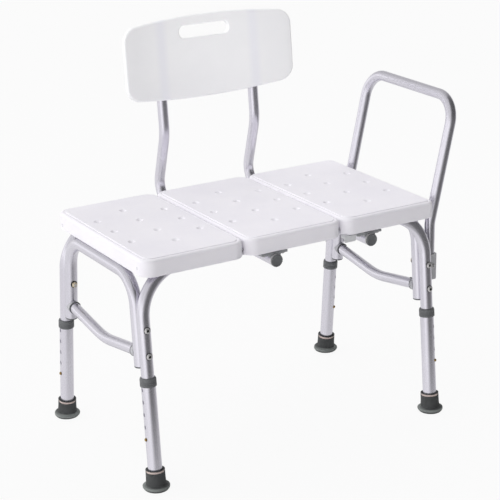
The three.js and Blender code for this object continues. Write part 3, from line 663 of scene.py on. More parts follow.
def panel_outline(half_x, half_y, left, right, middle_x):
    """A rectangle with its left and right corners rounded and its long sides divided."""
    corners = corner_arcs([(half_x - right, half_y - right, right),
                           (-half_x + left, half_y - left, left),
                           (-half_x + left, -half_y + left, left),
                           (half_x - right, -half_y + right, right)], 14)
    points = [(x + middle_x, y) for x, y in corners]
    divided = []
    for here, there in zip(points, points[1:] + points[:1]):
        divided.append(here)
        if math.dist(here, there) > 30:
            for k in range(1, 10):
                divided.append((here[0] + (there[0] - here[0]) * k / 10,
                                here[1] + (there[1] - here[1]) * k / 10))
    return divided


def panel_ribs(middle, half_x, half_y):
    ribs = [block(middle + dx - 1.5, middle + dx + 1.5, -half_y + 2.4, half_y - 2.4,
                  SEAT_LOW + 0.2, SEAT_TOP - 2.4) for dx in (-62, 62)]
    ribs += [block(middle - half_x + 2.4, middle + half_x - 2.4, y - 1.1, y + 1.1,
                   SEAT_LOW + 12, SEAT_TOP - 2.2) for y in (-55.5, 55.5)]
    return ribs


def tube_channels(start, stop, first, last):
    """Room for the two long frame tubes, open below."""
    cuts = []
    for _, end in ENDS:
        y = leg_y(end, LONG_TOP)
        near = TUBE + 0.24
        wide = TUBE + 1.3
        cuts.append(rod(TUBE + 0.25, (start, y, LONG_TOP), (stop, y, LONG_TOP)))
        cuts.append(block(start, stop, y - near, y + near, SEAT_LOW - 5, LONG_TOP - 0.5))
        if first:
            cuts.append(block(start, -CHANNEL_WIDE_X, y - wide, y + wide,
                              SEAT_LOW - 5, LONG_TOP - 3))
        if last:
            cuts.append(block(CHANNEL_WIDE_X, stop, y - wide, y + wide,
                              SEAT_LOW - 5, LONG_TOP - 3))
    return cuts


def panel_drains(middle):
    spots = [(0, k * DRAIN_PITCH) for k in (-1.5, -0.5, 0.5, 1.5)]
    spots += [(side * DRAIN_X, k * DRAIN_PITCH) for side in (-1, 1) for k in (-1, 0, 1)]
    return [cutter(turned(DRAIN_PROFILE, (middle + x, y, SEAT_TOP), (0, 0, 1), 28))
            for x, y in spots]


def seat_panel(name, middle, first, last):
    extra = RIGHT_EXTRA if last else 0
    half_x = (PANEL_PITCH - SEAM + extra) / 2
    half_y = SEAT_DEPTH / 2
    centre = middle + extra / 2
    right = RIGHT_CORNER if last else CORNER

    def shell(profile):
        return rings([[v3(x, y, z) for x, y in panel_outline(
            half_x - inset, half_y - inset, max(CORNER - inset, 1.5), max(right - inset, 1.5),
            centre)] for inset, z in profile])

    start = centre - half_x + CHANNEL_END if first else middle - CHANNEL_REACH
    stop = centre + half_x - CHANNEL_END if last else middle + CHANNEL_REACH
    panel = make(name, shell(PANEL_PROFILE), SEAT_PLASTIC, smooth=28)
    boolean(panel, [cutter(shell(HOLLOW_PROFILE))], smooth=28)
    boolean(panel, panel_ribs(middle, half_x, half_y), "UNION", smooth=28)
    boolean(panel, tube_channels(start, stop, first, last), smooth=28)
    boolean(panel, panel_drains(middle), smooth=28)
    panel["flat_faces"] = True
    return panel


for i, word in enumerate(("left", "middle", "right")):
    fit(seat_panel("Seat_Panel_" + word, (i - 1) * PANEL_PITCH, first=i == 0, last=i == 2),
        "seat_panel_" + word)

# ---------------------------------------------------------------- frame tubes and end braces
for end_name, end in ENDS:
    left, right = LEGS[-1, end], LEGS[1, end]
    fit(tube(end_name.title() + "_Frame_Tube",
             [left.at(LONG_CUT), left.at(LONG_TOP), right.at(LONG_TOP), right.at(LONG_CUT)],
             [LONG_BEND, LONG_BEND], TUBE, TUBE - WALL, 48),
        end_name + "_frame_tube")


def brace_z(y):
    """Height of a brace's axis, which dips to its middle."""
    return BRACE_Z - (BRACE_END_Y - abs(y)) * (BRACE_DROP / BRACE_END_Y)


def end_frame(side_name, front, rear):
    fit(tube(side_name.title() + "_End_Frame_Tube",
             [front.at(END_CUT, END_INSET), front.at(END_TOP, END_INSET),
              rear.at(END_TOP, END_INSET), rear.at(END_CUT, END_INSET)],
             [END_BEND, END_BEND], TUBE, TUBE - WALL, 48),
        side_name + "_end_frame_tube")


def end_brace(side_name, side, legs):
    x = side * LEG_X
    far = BRACE_END_Y + 4
    obj = tube(side_name.title() + "_End_Brace",
               [v3(x, -far, brace_z(far)), v3(x, 0, BRACE_Z - BRACE_DROP),
                v3(x, far, brace_z(far))],
               [BRACE_BEND], BRACE, None, 48, lip=0.5, step=1.2, spacing=20)
    # the ends are cut square to the bolts
    boolean(obj, [rod(24, leg.bolt_at(BOLT_LOW, -BRACE_IN), leg.bolt_at(BOLT_LOW, 30 - BRACE_IN),
                      32) for leg in legs], smooth=30)
    fit(obj, side_name + "_end_brace")


SET_SCREW_IN = 9.5  # from the brace's end
SET_SCREW_PROFILE = [(0, -1.2), (2.3, -1.2), (2.3, 1.2), (2.0, 1.7), (1.15, 1.7), (0.95, 0.9),
                     (0, 0.8)]
# a dark ring between the brace's end and its saddle: painted shade for the gap between them
SADDLE_SHADE_RING_PROFILE = [
    (BRACE - 0.4, -0.05), (SADDLE + 0.05, -0.2), (SADDLE + 0.4, 0.15), (SADDLE + 0.4, 1.15),
    (SADDLE + 0.05, 1.5), (SADDLE - 0.1, 1.3), (SADDLE - 0.12, 0.7), (SADDLE - 0.5, 0.22),
    (BRACE - 0.4, 0.22), (BRACE - 0.4, -0.05)]
END_FRAME_PLUG_PROFILE = [
    (0, -2.3), (4.0, -2.3), (5.0, -2.9), (TUBE - 2.6, -3.0), (TUBE - 1.2, -2.8),
    (TUBE - 0.4, -2.2), (TUBE - 0.15, -1.4), (TUBE - 0.15, -0.3), (TUBE - WALL - 0.25, -0.3),
    (TUBE - WALL - 0.6, 13), (0, 13)]


def brace_saddle(leg):
    """A sleeve between the brace's end and the end frame, hollowed to the frame's tube."""
    count = 64
    bore = BOLT + 0.35
    base = leg.bolt_at(BOLT_LOW, -BRACE_IN)

    def reach(x):
        """Distance from the brace's end to the tube's face, x to one side of its axis."""
        return (BRACE_IN - END_INSET / LEAN
                - math.sqrt(max((TUBE + 0.3) ** 2 - x * x, 4.0)))

    def ring(radius, height):
        """height(x) is measured outwards from the brace's end."""
        points = []
        for i in range(count):
            angle = 2 * math.pi * i / count
            across = radius * math.cos(angle)
            points.append(base + v3(across, 0, 0) + leg.up * (radius * math.sin(angle))
                          + leg.out * height(across))
        return points

    stack = [ring(radius, lambda x: 0.3 + height)
             for radius, height in ((bore, 0.0), (SADDLE - 1.3, 0.0), (SADDLE - 0.35, 0.3),
                                    (SADDLE, 1.0))]
    stack += [ring(radius, lambda x: reach(x) - back)
              for radius, back in ((SADDLE, 0.7), (SADDLE - 0.3, 0.15), (SADDLE - 0.9, 0.0),
                                   (8.0, 0.0), (bore, 0.0))]
    return orient(*rings(stack, loop=True))


def brace_fittings(leg):
    y = BRACE_END_Y - SET_SCREW_IN
    top = v3(leg.side * LEG_X, leg.end * y, brace_z(y) + BRACE - 0.45)
    fit(make(leg.tag + "_Brace_Set_Screw",
             turned(SET_SCREW_PROFILE, top, (0, leg.end * 0.15, 1), 32), DARK_PLASTIC))
    fit(make(leg.tag + "_Brace_Saddle", brace_saddle(leg), SADDLE_GREY),
        leg.key + "_brace_saddle")
    base = leg.bolt_at(BOLT_LOW, -BRACE_IN) + leg.out * 0.3
    # painted shade: a dark ring where the brace meets its saddle
    fit(make(leg.tag + "_Saddle_Shade_Ring", turned(SADDLE_SHADE_RING_PROFILE, base, leg.out, 64),
             DARK_PLASTIC))
    fit(make(leg.tag + "_End_Frame_Plug",
             turned(END_FRAME_PLUG_PROFILE, leg.at(END_CUT, END_INSET), leg.up, 56),
             DARK_PLASTIC),
        leg.key + "_end_frame_plug")


for side_name, side in SIDES:
    pair = [LEGS[side, end] for _, end in ENDS]
    end_frame(side_name, *pair)
    end_brace(side_name, side, pair)
    for leg in pair:
        brace_fittings(leg)

# ---------------------------------------------------------------- leg bolts and nuts
NUT_CORNER = 5.8
# heights are measured outwards from the face the piece sits on
WASHER_PROFILE = [(3.3, -0.75), (7.0, -0.75), (7.3, -0.5), (7.3, -0.15), (7.0, -0.02),
                  (3.3, -0.02), (3.3, -0.75)]
NUT_WASHER_PROFILE = [(3.3, -0.7), (7.1, -0.7), (7.35, -0.5), (7.35, -0.2), (7.1, -0.04),
                      (3.3, -0.04), (3.3, -0.7)]
SOCKET_SHADE_PROFILE = [(0, 1.15), (2.4, 1.18), (2.8, 1.35), (2.8, 3.2), (2.62, 3.2), (2.4, 2.85),
                  (1.2, 2.65), (0, 2.6)]
NUT_PROFILE = [(3.1, 0.0), (5.1, 0.0), (5.85, 0.45), (5.85, 4.1), (5.15, 4.65), (4.75, 4.7),
               (4.75, 5.4), (4.35, 6.0), (3.7, 6.25), (3.1, 6.0), (3.1, 0.0)]


def hexagon(angle, corner):
    """Radius at an angle of a hexagon with its corners so far out."""
    turn = (angle + math.pi / 6) % (math.pi / 3) - math.pi / 6
    return corner * math.cos(math.pi / 6) / math.cos(turn)


def socket_shape(angle, radius, height):
    return hexagon(angle, radius + 0.06) if radius > 2.3 else radius


def nut_shape(angle, radius, height):
    return min(radius, hexagon(angle, NUT_CORNER)) if radius > 4.9 else radius


def bolt(name, seat, axis, length, shank, head, height, socket):
    """A button-head bolt; seat is the underside of its head and the axis points outwards."""
    sweep_share = 0.86  # of a quarter turn, for the dome
    dome = []
    for i in range(9):
        w = math.pi / 2 * i / 8 * sweep_share
        rise = math.sin(w) / math.sin(math.pi / 2 * sweep_share)
        dome.append((head * math.cos(w), 0.7 + (height - 0.7) * rise))
    profile = [(0, -length), (shank - 0.5, -length), (shank, -length + 0.6), (shank, 0),
               (head - 0.25, 0), (head, 0.3)]
    profile += [point for point in dome if point[0] >= socket + 0.7]
    profile += [(socket + 0.7, height), (socket + 0.25, height - 0.1), (socket, height - 0.4),
                (socket, height - 1.9), (0, height - 2.3)]

    def shape(angle, radius, level):
        inside = level > height - 2.0 and radius <= socket + 0.01
        return hexagon(angle, socket) if inside else radius

    return make(name, turned(profile, seat, axis, 60, shape), BOLT_METAL)


def leg_bolts(leg):
    for word, z, extra in (("Upper", BOLT_HIGH, 8.6), ("Lower", BOLT_LOW, 22.0)):
        seat = leg.bolt_at(z, TUBE + 0.8)
        name = f"{leg.tag}_{word}"
        fit(bolt(name + "_Bolt", seat, leg.out, length=2 * TUBE + END_INSET + extra,
                 shank=BOLT, head=6.3, height=3.4, socket=2.9),
            f"{leg.key}_{word.lower()}_bolt")
        fit(make(name + "_Washer", turned(WASHER_PROFILE, seat, leg.out, 40), SEAL))
        # painted shade: a dark insert lining the socket in the head stands in for the shade inside
        # it
        fit(make(name + "_Socket_Shade", turned(SOCKET_SHADE_PROFILE, seat, leg.out, 48, socket_shape), SEAL))
    inner = leg.bolt_at(BOLT_HIGH, -(END_INSET / LEAN + TUBE + 0.9))
    fit(make(leg.tag + "_Upper_Nut", turned(NUT_PROFILE, inner, -leg.out, 60, nut_shape),
             NUT_METAL),
        leg.key + "_upper_nut")
    fit(make(leg.tag + "_Nut_Washer", turned(NUT_WASHER_PROFILE, inner, -leg.out, 40), SEAL))


for leg in LEGS.values():
    leg_bolts(leg)

# ---------------------------------------------------------------- telescopic legs
# (radius, distance from the extension's axis)
HOLE_PROFILE = [(0, 6), (3.65, 6), (3.65, EXTENSION - 0.75), (3.8, EXTENSION - 0.4),
                (4.15, EXTENSION + 0.1), (4.4, EXTENSION + 0.4), (4.4, 22), (0, 22)]
BUTTON_PROFILE = [
    (0, 6.4), (4.2, 6.4), (4.6, 6.8), (4.6, 7.4), (4.3, 7.6), (3.2, 7.6), (3.2, EXTENSION + 0.7),
    *((3.2 * math.cos(w), EXTENSION + 0.7 + 2.45 * math.sin(w))
      for w in (math.pi / 2 * i / 8 for i in range(1, 8))),
    (0, EXTENSION + 3.15)]
# (radius, height over the floor plane z = 0): ringed tread, flared base, shoe and its bore
SHOE_BORE = EXTENSION + 0.25
FOOT_PROFILE = [
    (0, 4.6), (4.5, 4.6), (5.0, 4.1), (5.0, 2.6), (5.4, 2.05), (9.6, 2.05), (10.0, 2.6),
    (10.0, 4.1), (10.5, 4.6), (13.5, 4.6), (14.0, 4.1), (14.0, 2.6), (14.4, 2.05),
    (19.0, 2.05), (19.4, 2.6), (19.4, 3.8), (19.9, 4.2), (21.4, 4.2), (21.9, 3.7),
    (22.1, 2.4), (22.5, 2.05), (23.6, 2.1), (24.3, 2.7), (25.1, 3.7), (26.0, 4.8),
    (26.7, 5.9), (27.0, 7.2), (27.0, 8.6), (26.8, 9.4), (26.2, 10.1), (25.0, 10.8),
    (23.0, 11.4), (21.5, 11.8), (20.85, 12.1), (20.5, 12.6), (20.25, 13.6), (20.0, 15.4),
    (19.75, 18.0), (19.55, 21.0), (19.35, 25.0), (19.25, 30.0), (19.2, 34.0), (19.2, 36.2),
    (19.15, 36.9), (18.9, 37.2), (18.4, 37.35), (18.2, 37.6), (18.2, 41.7), (18.45, 41.8),
    (19.0, 41.85), (19.15, 42.05), (18.9, 42.35), (18.3, 42.5), (SHOE_BORE + 0.6, 42.5),
    (SHOE_BORE, 42.0), (SHOE_BORE, EXTENSION_LOW - 0.3), (0, EXTENSION_LOW - 0.3)]
FOOT_BAND_PROFILE = [
    (18.1, 37.7), (18.7, 37.7), (18.98, 38.0), (19.06, 38.8), (19.08, 39.7), (19.06, 40.6),
    (18.98, 41.35), (18.7, 41.65), (18.1, 41.65), (18.1, 37.7)]
TREAD_HEIGHT, LEVEL_HEIGHT = 5.3, 12.0  # level below the first, along the leg above the second


def collar_profile(stretch):
    """(radius, height over the collar's bottom along the leg), with two grooves."""
    lip = (EXTENSION_TOP + 0.4 - COLLAR_LOW) * stretch
    high = (COLLAR_TOP - COLLAR_LOW) * stretch
    return [(EXTENSION + 0.25, 0.0), (COLLAR - 0.9, 0.0), (COLLAR - 0.25, 0.3), (COLLAR, 0.9),
            (COLLAR, 4.6), (COLLAR - 0.6, 5.1), (COLLAR - 0.6, 6.0), (COLLAR, 6.5),
            (COLLAR, 8.4), (COLLAR - 0.6, 8.9), (COLLAR - 0.6, 9.8), (COLLAR, 10.3),
            (COLLAR, high - 4.2), (COLLAR - 0.3, high - 2.9), (COLLAR - 0.85, high - 1.6),
            (COLLAR - 1.5, high - 0.65), (COLLAR - 2.3, high - 0.12),
            (EXTENSION_BORE + 0.5, high), (EXTENSION_BORE, high - 0.4), (EXTENSION_BORE, lip),
            (EXTENSION + 0.25, lip), (EXTENSION + 0.25, 0.0)]


def stretched(profile, leg):
    return [(radius, height * leg.stretch) for radius, height in profile]


def rubber_foot(leg):
    """The shoe follows the leg, but its tread is sheared to stand flat on the ground."""
    base = leg.at(0)
    verts, faces = turned(stretched(FOOT_PROFILE, leg), base, leg.up, 96)
    for vert in verts:
        height = float((vert - base) @ leg.up) / leg.stretch
        if height < LEVEL_HEIGHT:
            share = 1.0
            if height >= TREAD_HEIGHT:
                share = max(0.0, (LEVEL_HEIGHT - height) / (LEVEL_HEIGHT - TREAD_HEIGHT))
            level = max(height, GROUND + 0.01) if height < 2.2 else height
            vert[2] = vert[2] * (1 - share) + level * share
    verts[:, 2] = np.where(verts[:, 2] < GROUND + 0.2, GROUND + 0.002, verts[:, 2])
    return verts, faces


def telescopic_leg(leg):
    body = "leg_" + leg.key
    if leg.side < 0:
        angle, button_z, holes = LEFT_BUTTON_ANGLE, LEFT_BUTTON_Z, LEFT_HOLES
    else:
        angle, button_z, holes = RIGHT_BUTTON_ANGLE, RIGHT_BUTTON_Z, RIGHT_HOLES
    angle = math.radians(angle)
    facing = v3(math.cos(angle), math.sin(angle), 0)
    facing = unit(facing - leg.up * (facing @ leg.up))
    button = leg.at(button_z)

    obj = tube(leg.tag + "_Leg_Extension", [leg.at(EXTENSION_LOW), leg.at(EXTENSION_TOP)], [],
               EXTENSION, EXTENSION_BORE, 72, lip=0.3, spacing=8.0)
    boolean(obj, [cutter(turned(HOLE_PROFILE, button + leg.up * (k * HOLE_PITCH), facing, 32))
                  for k in range(holes)], smooth=30)
    fit(obj, leg.key + "_leg_extension", body)
    fit(make(leg.tag + "_Leg_Collar",
             turned(collar_profile(leg.stretch), leg.at(COLLAR_LOW), leg.up, 72), DARK_PLASTIC),
        leg.key + "_leg_collar", body)
    fit(make(leg.tag + "_Snap_Button", turned(BUTTON_PROFILE, button, facing, 40), BRASS),
        leg.key + "_snap_button", "button_" + leg.key)
    fit(make(leg.tag + "_Rubber_Foot", rubber_foot(leg), RUBBER, smooth=40),
        leg.key + "_rubber_foot", body)
    # band let into the top of the shoe, its tone a painted sheen and shade: pale where it faces the
    # camera, dark where it turns away
    fit(make(leg.tag + "_Foot_Band",
             turned(stretched(FOOT_BAND_PROFILE, leg), leg.at(0), leg.up, 80), BAND, smooth=40),
        body=body)


for leg in LEGS.values():
    telescopic_leg(leg)


# ---------------------------------------------------------------- backrest
def support_y(z):
    """y of a support's axis behind the panel."""
    return 257.8 + RECLINE * (z - 633)


SUPPORT_BEND_Y = 266.5 - 0.28 * (BACK_Z - 517)  # where the support turns up
for word, x in BACKS:
    fit(tube("Backrest_Support_" + word,
             [v3(x, 52, BACK_Z), v3(x, SUPPORT_BEND_Y, BACK_Z), v3(x, support_y(570.4), 570.4),
              v3(x, support_y(SUPPORT_TOP), SUPPORT_TOP)],
             [44, 105], SUPPORT, SUPPORT - SUPPORT_WALL, 44, step=3.0),
        "backrest_support_" + word, "backrest")

SLOT_CENTRE = np.array([SLOT_MID, (SLOT_LOW + SLOT_HIGH) / 2])
SLOT_HALF_HEIGHT = (SLOT_HIGH - SLOT_LOW) / 2
SLOT_CORNER = SLOT_HALF_HEIGHT - 1.0
RAY_GAP = math.radians(0.45)  # rays closer than this are dropped
FACE_SHARES = (0.0, 0.12, 0.3, 0.5, 0.7, 0.88, 1.0)  # rings across a face, slot to edge
SWELL, SWELL_WIDTH = 0.55, 17.0  # of the front face over the supports


def back_outline():
    """The flattened panel's edge about its middle: arched top and bottom, rounded corners."""
    def edge(across):
        return PANEL_RISE - PANEL_ARCH * (across / 150) ** 2

    corner_x = PANEL_HALF - PANEL_CORNER
    corner_z = edge(corner_x) - PANEL_CORNER
    corner = arc(corner_x, corner_z, PANEL_CORNER, 0, 90, 16)
    half = list(corner)
    for i in range(1, 40):
        across = corner_x - 2 * corner_x * i / 40
        half.append((across, edge(across)))
    half += [(-x, z) for x, z in reversed(corner)]
    half += [(-PANEL_HALF, corner_z - 2 * corner_z * i / 12) for i in range(1, 12)]
    return np.array(half + [(-x, -z) for x, z in half])


def ray_angles(outline):
    """Angles from the slot's middle to the outline's points, with more round the slot's ends."""
    centred = np.arange(-24, 25, 1.5)
    offset = np.arange(1, 25, 1.5)
    ends = [*centred, *(180 + centred[centred <= 0]), *(180 - offset), *(offset - 180)]
    angles = {round(math.atan2(z - SLOT_CENTRE[1], x - SLOT_CENTRE[0]), 5) for x, z in outline}
    angles |= {round(math.radians(angle), 5) for angle in ends}
    angles = sorted(angles)
    kept = [angles[0]]
    for angle in angles[1:]:
        if angle - kept[-1] > RAY_GAP:
            kept.append(angle)
    if kept[0] + 2 * math.pi - kept[-1] < RAY_GAP:
        kept.pop()
    return kept


def in_slot(x, z):
    """Whether a place, measured from the slot's middle, is in its rounded rectangle."""
    x, z = abs(x), abs(z)
    past_x, past_z = x - (SLOT_HALF - SLOT_CORNER), z - (SLOT_HALF_HEIGHT - SLOT_CORNER)
    if past_x <= 0 or past_z <= 0:
        return x <= SLOT_HALF and z <= SLOT_HALF_HEIGHT
    return past_x * past_x + past_z * past_z <= SLOT_CORNER * SLOT_CORNER


def slot_reach(ray):
    """Distance along a ray to the slot's edge, by halving."""
    low, high = 0.0, 400.0
    for _ in range(50):
        middle = (low + high) / 2
        if in_slot(ray[0] * middle, ray[1] * middle):
            low = middle
        else:
            high = middle
    return low


def outline_reach(outline, ray):
    """Distance along a ray from the slot's middle to the outline."""
    reaches = []
    for here, there in zip(outline, np.roll(outline, -1, 0)):
        side = there - here
        slant = ray[0] * side[1] - ray[1] * side[0]
        if abs(slant) < 1e-12:
            continue
        start = here - SLOT_CENTRE
        reach = (start[0] * side[1] - start[1] * side[0]) / slant
        share = (start[0] * ray[1] - start[1] * ray[0]) / slant
        if reach > 0 and -1e-9 <= share <= 1 + 1e-9:
            reaches.append(reach)
    return max(reaches)


def shift(outline, distance):
    """Moves each point of a closed outline inwards, or outwards where negative."""
    along = np.roll(outline, -1, 0) - np.roll(outline, 1, 0)
    along /= np.maximum(np.linalg.norm(along, axis=1)[:, None], 1e-9)
    return outline + np.stack([-along[:, 1], along[:, 0]], 1) * distance


def back_layers():
    """(outline, depth) over the front, round the edge, over the back and round the slot."""
    outline = back_outline()
    rays = [np.array([math.cos(angle), math.sin(angle)]) for angle in ray_angles(outline)]
    outer = np.array([SLOT_CENTRE + ray * outline_reach(outline, ray) for ray in rays])
    slot = np.array([SLOT_CENTRE + ray * slot_reach(ray) for ray in rays])
    thick, bend = PANEL_THICK, PANEL_ROUND
    slot_bend = bend * 0.72
    face = shift(outer, bend) - slot
    opening = shift(slot, slot_bend)
    quarter = [(math.sin(w), math.cos(w)) for w in (math.pi / 2 * i / 6 for i in range(7))]

    layers = [(slot + face * share, 0.0) for share in FACE_SHARES]
    layers += [(shift(outer, bend * (1 - s)), bend * (1 - c)) for s, c in quarter[1:]]
    layers += [(shift(outer, bend * (1 - c)), thick - bend + bend * s) for s, c in quarter]
    layers += [(slot + face * share, thick) for share in FACE_SHARES[-2::-1]]
    layers += [(shift(opening, -slot_bend * (1 - s)), thick - slot_bend + slot_bend * c)
               for s, c in quarter[1:]]
    layers += [(shift(opening, -slot_bend * (1 - c)), slot_bend - slot_bend * s)
               for s, c in quarter[:-1]]
    return layers


def backrest_panel():
    """The bowed, leaning panel, grooved behind for its supports."""
    lean = math.atan(RECLINE)
    stack = []
    for outline, depth in back_layers():
        ring = []
        for across, rise in outline:
            swell = 0.0
            if depth == 0.0:
                for side in (-1, 1):
                    away = (across - side * BACK_HALF_X) / SWELL_WIDTH
                    swell -= SWELL * math.exp(-away * away)
            back = depth - across * across / (2 * PANEL_BOW) + swell
            ring.append(v3(BACK_MID_X + across,
                           PANEL_Y + back * math.cos(lean) + rise * math.sin(lean),
                           PANEL_Z + rise * math.cos(lean) - back * math.sin(lean)))
        stack.append(ring)
    obj = make("Backrest_Panel", orient(*rings(stack, loop=True)), BACK_PLASTIC, smooth=40)
    grooves = [rod(SUPPORT + 0.25, v3(x, support_y(600), 600), v3(x, support_y(799), 799), 56)
               for x in BACK_X]
    return boolean(obj, grooves, smooth=40)


fit(backrest_panel(), "backrest_panel", "backrest")

SUPPORT_PLUG_PROFILE = [
    (0, -9), (9.3, -9), (9.6, -8.6), (9.6, 0.25), (10.4, 0.3), (10.9, 0.7), (10.8, 1.5),
    (9.8, 2.4), (8.0, 3.0), (5.0, 3.4), (0, 3.55)]
BACK_SCREW_PROFILE = [
    (0, -3), (1.9, -3), (1.9, 0), (4.3, 0), (4.45, 0.4), (4.0, 1.5), (2.9, 2.2), (1.5, 2.5),
    (1.35, 1.3), (0, 1.2)]


def cross_recess(angle, radius, height):
    if height < 1.19 or radius > 1.6:
        return radius
    return radius * (0.45 + 0.55 * abs(math.cos(2 * angle)) ** 3)


# a plug in the top of each support, and two screw heads on its back
for word, x in BACKS:
    word = word.title()
    fit(make("Backrest_Support_Plug_" + word,
             turned(SUPPORT_PLUG_PROFILE, v3(x, support_y(SUPPORT_TOP), SUPPORT_TOP),
                    (0, RECLINE, 1), 48), PLUG_PLASTIC),
        body="backrest")
    for k, z in enumerate((672.0, 776.0)):
        base = v3(x, support_y(z) + SUPPORT - 0.15, z)
        fit(make(f"Backrest_Screw_{word}_{k}",
                 turned(BACK_SCREW_PROFILE, base, (0, 1, -RECLINE), 40, cross_recess), STEEL),
            body="backrest")

# ---------------------------------------------------------------- receivers
# (radius, y from the receiver's front end)
RECEIVER_PLUG_PROFILE = [
    (0, 13.5), (RECEIVER_BORE - 0.6, 13.5), (RECEIVER_BORE - 0.35, 13),
    (RECEIVER_BORE - 0.35, -0.3), (11.6, -0.3), (11.6, -1.0), (11.6, -4.6), (12.75, -4.7),
    (13.0, -5.0), (13.0, -6.0), (13.0, -6.8), (12.6, -7.4), (11.7, -7.78), (10.6, -7.8),
    (9.9, -7.45), (9.4, -6.9), (8.9, -6.6), (4.0, -6.5), (0, -6.5)]
RECEIVER_RING_PROFILE = [
    (11.7, -0.75), (12.6, -0.75), (12.95, -1.0), (12.95, -2.3), (12.7, -2.5), (12.7, -2.8),
    (12.95, -3.0), (12.95, -3.9), (12.6, -4.2), (11.7, -4.2), (11.7, -0.75)]


def knurl(angle, radius, y):
    """22 hollows round the rim of a receiver plug."""
    if radius > 12.4 and y < -4.5:
        return radius - 0.75 * (0.5 - 0.5 * math.cos(22 * angle)) ** 2.2
    return radius


for word, x in BACKS:
    front = v3(x, RECEIVER_FRONT, BACK_Z)
    fit(tube(word.title() + "_Backrest_Receiver", [front, v3(x, RECEIVER_REAR, BACK_Z)], [],
             TUBE, RECEIVER_BORE, 48),
        word + "_backrest_receiver")
    fit(make(word.title() + "_Receiver_Plug",
             turned(RECEIVER_PLUG_PROFILE, front, (0, 1, 0), 176, knurl), DARK_PLASTIC),
        word + "_receiver_plug")
    fit(make(word.title() + "_Receiver_Ring",
             turned(RECEIVER_RING_PROFILE, front, (0, 1, 0), 64), BOLT_METAL))


# ---------------------------------------------------------------- straps and their screws
def strap_outline(left, right, middles):
    """Anticlockwise outline, in x and z, of a bar with a saddle under it at each middle."""
    radius = TUBE + 0.3
    low = BACK_Z + 7
    angle = math.degrees(math.asin((low - BACK_Z) / radius))
    half = radius * math.cos(math.radians(angle)) + 2.2
    # (distance from the middle, z) from the bar down to the saddle's foot
    flank = [(half + 2.2, STRAP_LOW), (half + 0.6, STRAP_LOW - 0.7), (half, STRAP_LOW - 2.2),
             (half, low)]
    points = [(left, STRAP_LOW)]
    for middle in middles:
        points += [(middle - away, z) for away, z in flank]
        points += arc(middle, BACK_Z, radius, 180 - angle, angle, 16)
        points += [(middle + away, z) for away, z in reversed(flank)]
    return points + [(right, STRAP_LOW), (right, STRAP_HIGH), (left, STRAP_HIGH)]


def strap_pad(left, right, front, rear):
    """A block between a strap and the seat."""
    return block(left, right, front, rear, STRAP_HIGH - 1, SEAT_LOW - 0.3)


def strap_screw(name, x, y, mat, shoulder=0.0):
    """A screw whose head hangs below a strap; shoulder is the top of its head."""
    profile = [(0, -2.4), (1.3, -2.5), (1.3, -3.2), (2.6, -3.3), (3.9, -2.7), (4.6, -1.4),
               (4.6, -0.3), (4.3, shoulder), (2.0, shoulder), (2.0, 3.0), (0, 3.0)]
    fit(make(name, turned(profile, v3(x, y, STRAP_LOW), (0, 0, 1), 36), mat))


for word, x in BACKS:
    obj = plate(word.title() + "_Receiver_Strap", strap_outline(x - 31, x + 29, [x]),
                -190.0, -177.0, 0.5, STRAP_METAL)
    boolean(obj, [strap_pad(x - 29, x - 17, -189, -178), strap_pad(x + 15, x + 27, -189, -178)],
            "UNION")
    fit(obj, word + "_receiver_strap")
    for k, dx in enumerate((-23, 21)):
        strap_screw(f"Strap_Screw_{word}_{k}", x + dx, -183.5, BOLT_METAL)


def strap_tab():
    """A pale plate on the left of the right strap, with a turned-down front lip."""
    x = BACK_X[1]
    low = SEAT_LOW - 15
    lip = [(x - 62, low + 3), (x - 61.2, low + 0.9), (x - 59, low), (x - 37, low),
           (x - 34.8, low + 0.9), (x - 34, low + 3), (x - 34, STRAP_HIGH), (x - 62, STRAP_HIGH)]
    flat = [(x - 62, STRAP_LOW + 0.3), (x - 31.4, STRAP_LOW + 0.3),
            (x - 31.4, STRAP_HIGH - 0.2), (x - 62, STRAP_HIGH - 0.2)]
    obj = plate("Strap_Tab", lip, -190.0, -188.0, 0.4, TAB_METAL)
    boolean(obj, [plate("cutter", flat, -189.2, -177.4, 0.4, TAB_METAL),
                  strap_pad(x - 61, x - 50, -188.6, -178)], "UNION")
    fit(obj)
    strap_screw("Strap_Tab_Screw", x - 52, -182.8, STEEL, shoulder=0.3)


def rear_strap():
    """One strap over both receivers."""
    left, right = BACK_X
    obj = plate("Rear_Receiver_Strap", strap_outline(left - 26, right + 26, BACK_X),
                176.6, 187.5, 0.5, STRAP_METAL)
    boolean(obj, [strap_pad(x - 6, x + 6, 177.6, 186.5) for x in BACK_X], "UNION")
    fit(obj, "rear_receiver_strap")
    for k, x in enumerate((left - 20, 10, 119, right + 20)):
        strap_screw(f"Rear_Strap_Screw_{k}", x, 182.0, STEEL)


strap_tab()
rear_strap()

SEAT_SCREW_X = 36  # each side of a panel's middle
SEAT_SCREW_PROFILE = [
    (0, -3.0), (1.3, -3.1), (1.3, -3.9), (2.8, -3.8), (4.1, -3.1), (4.8, -1.8), (4.8, 0.6),
    (2.0, 0.6), (2.0, 4.0), (0, 4.0)]
SEAT_PLUG_Y = 163.0
SEAT_PLUG_PROFILE = [
    (0, -0.35), (1.5, -0.3), (1.9, 0.15), (2.4, 0.45), (2.9, 0.4), (3.2, 0.0), (3.2, -3.0),
    (0, -3.0)]

# screws that hold the seat down, under the long frame tubes
spots = [(middle + side * SEAT_SCREW_X, leg_y(end, LONG_TOP))
         for middle in (-PANEL_PITCH, 0.0, PANEL_PITCH) for side in (-1, 1) for end in (-1, 1)]
for k, (x, y) in enumerate(spots):
    base = v3(x, y, LONG_TOP - TUBE + 0.2)
    fit(make(f"Seat_Screw_{k:02d}", turned(SEAT_SCREW_PROFILE, base, (0, 0, 1), 36), STEEL))

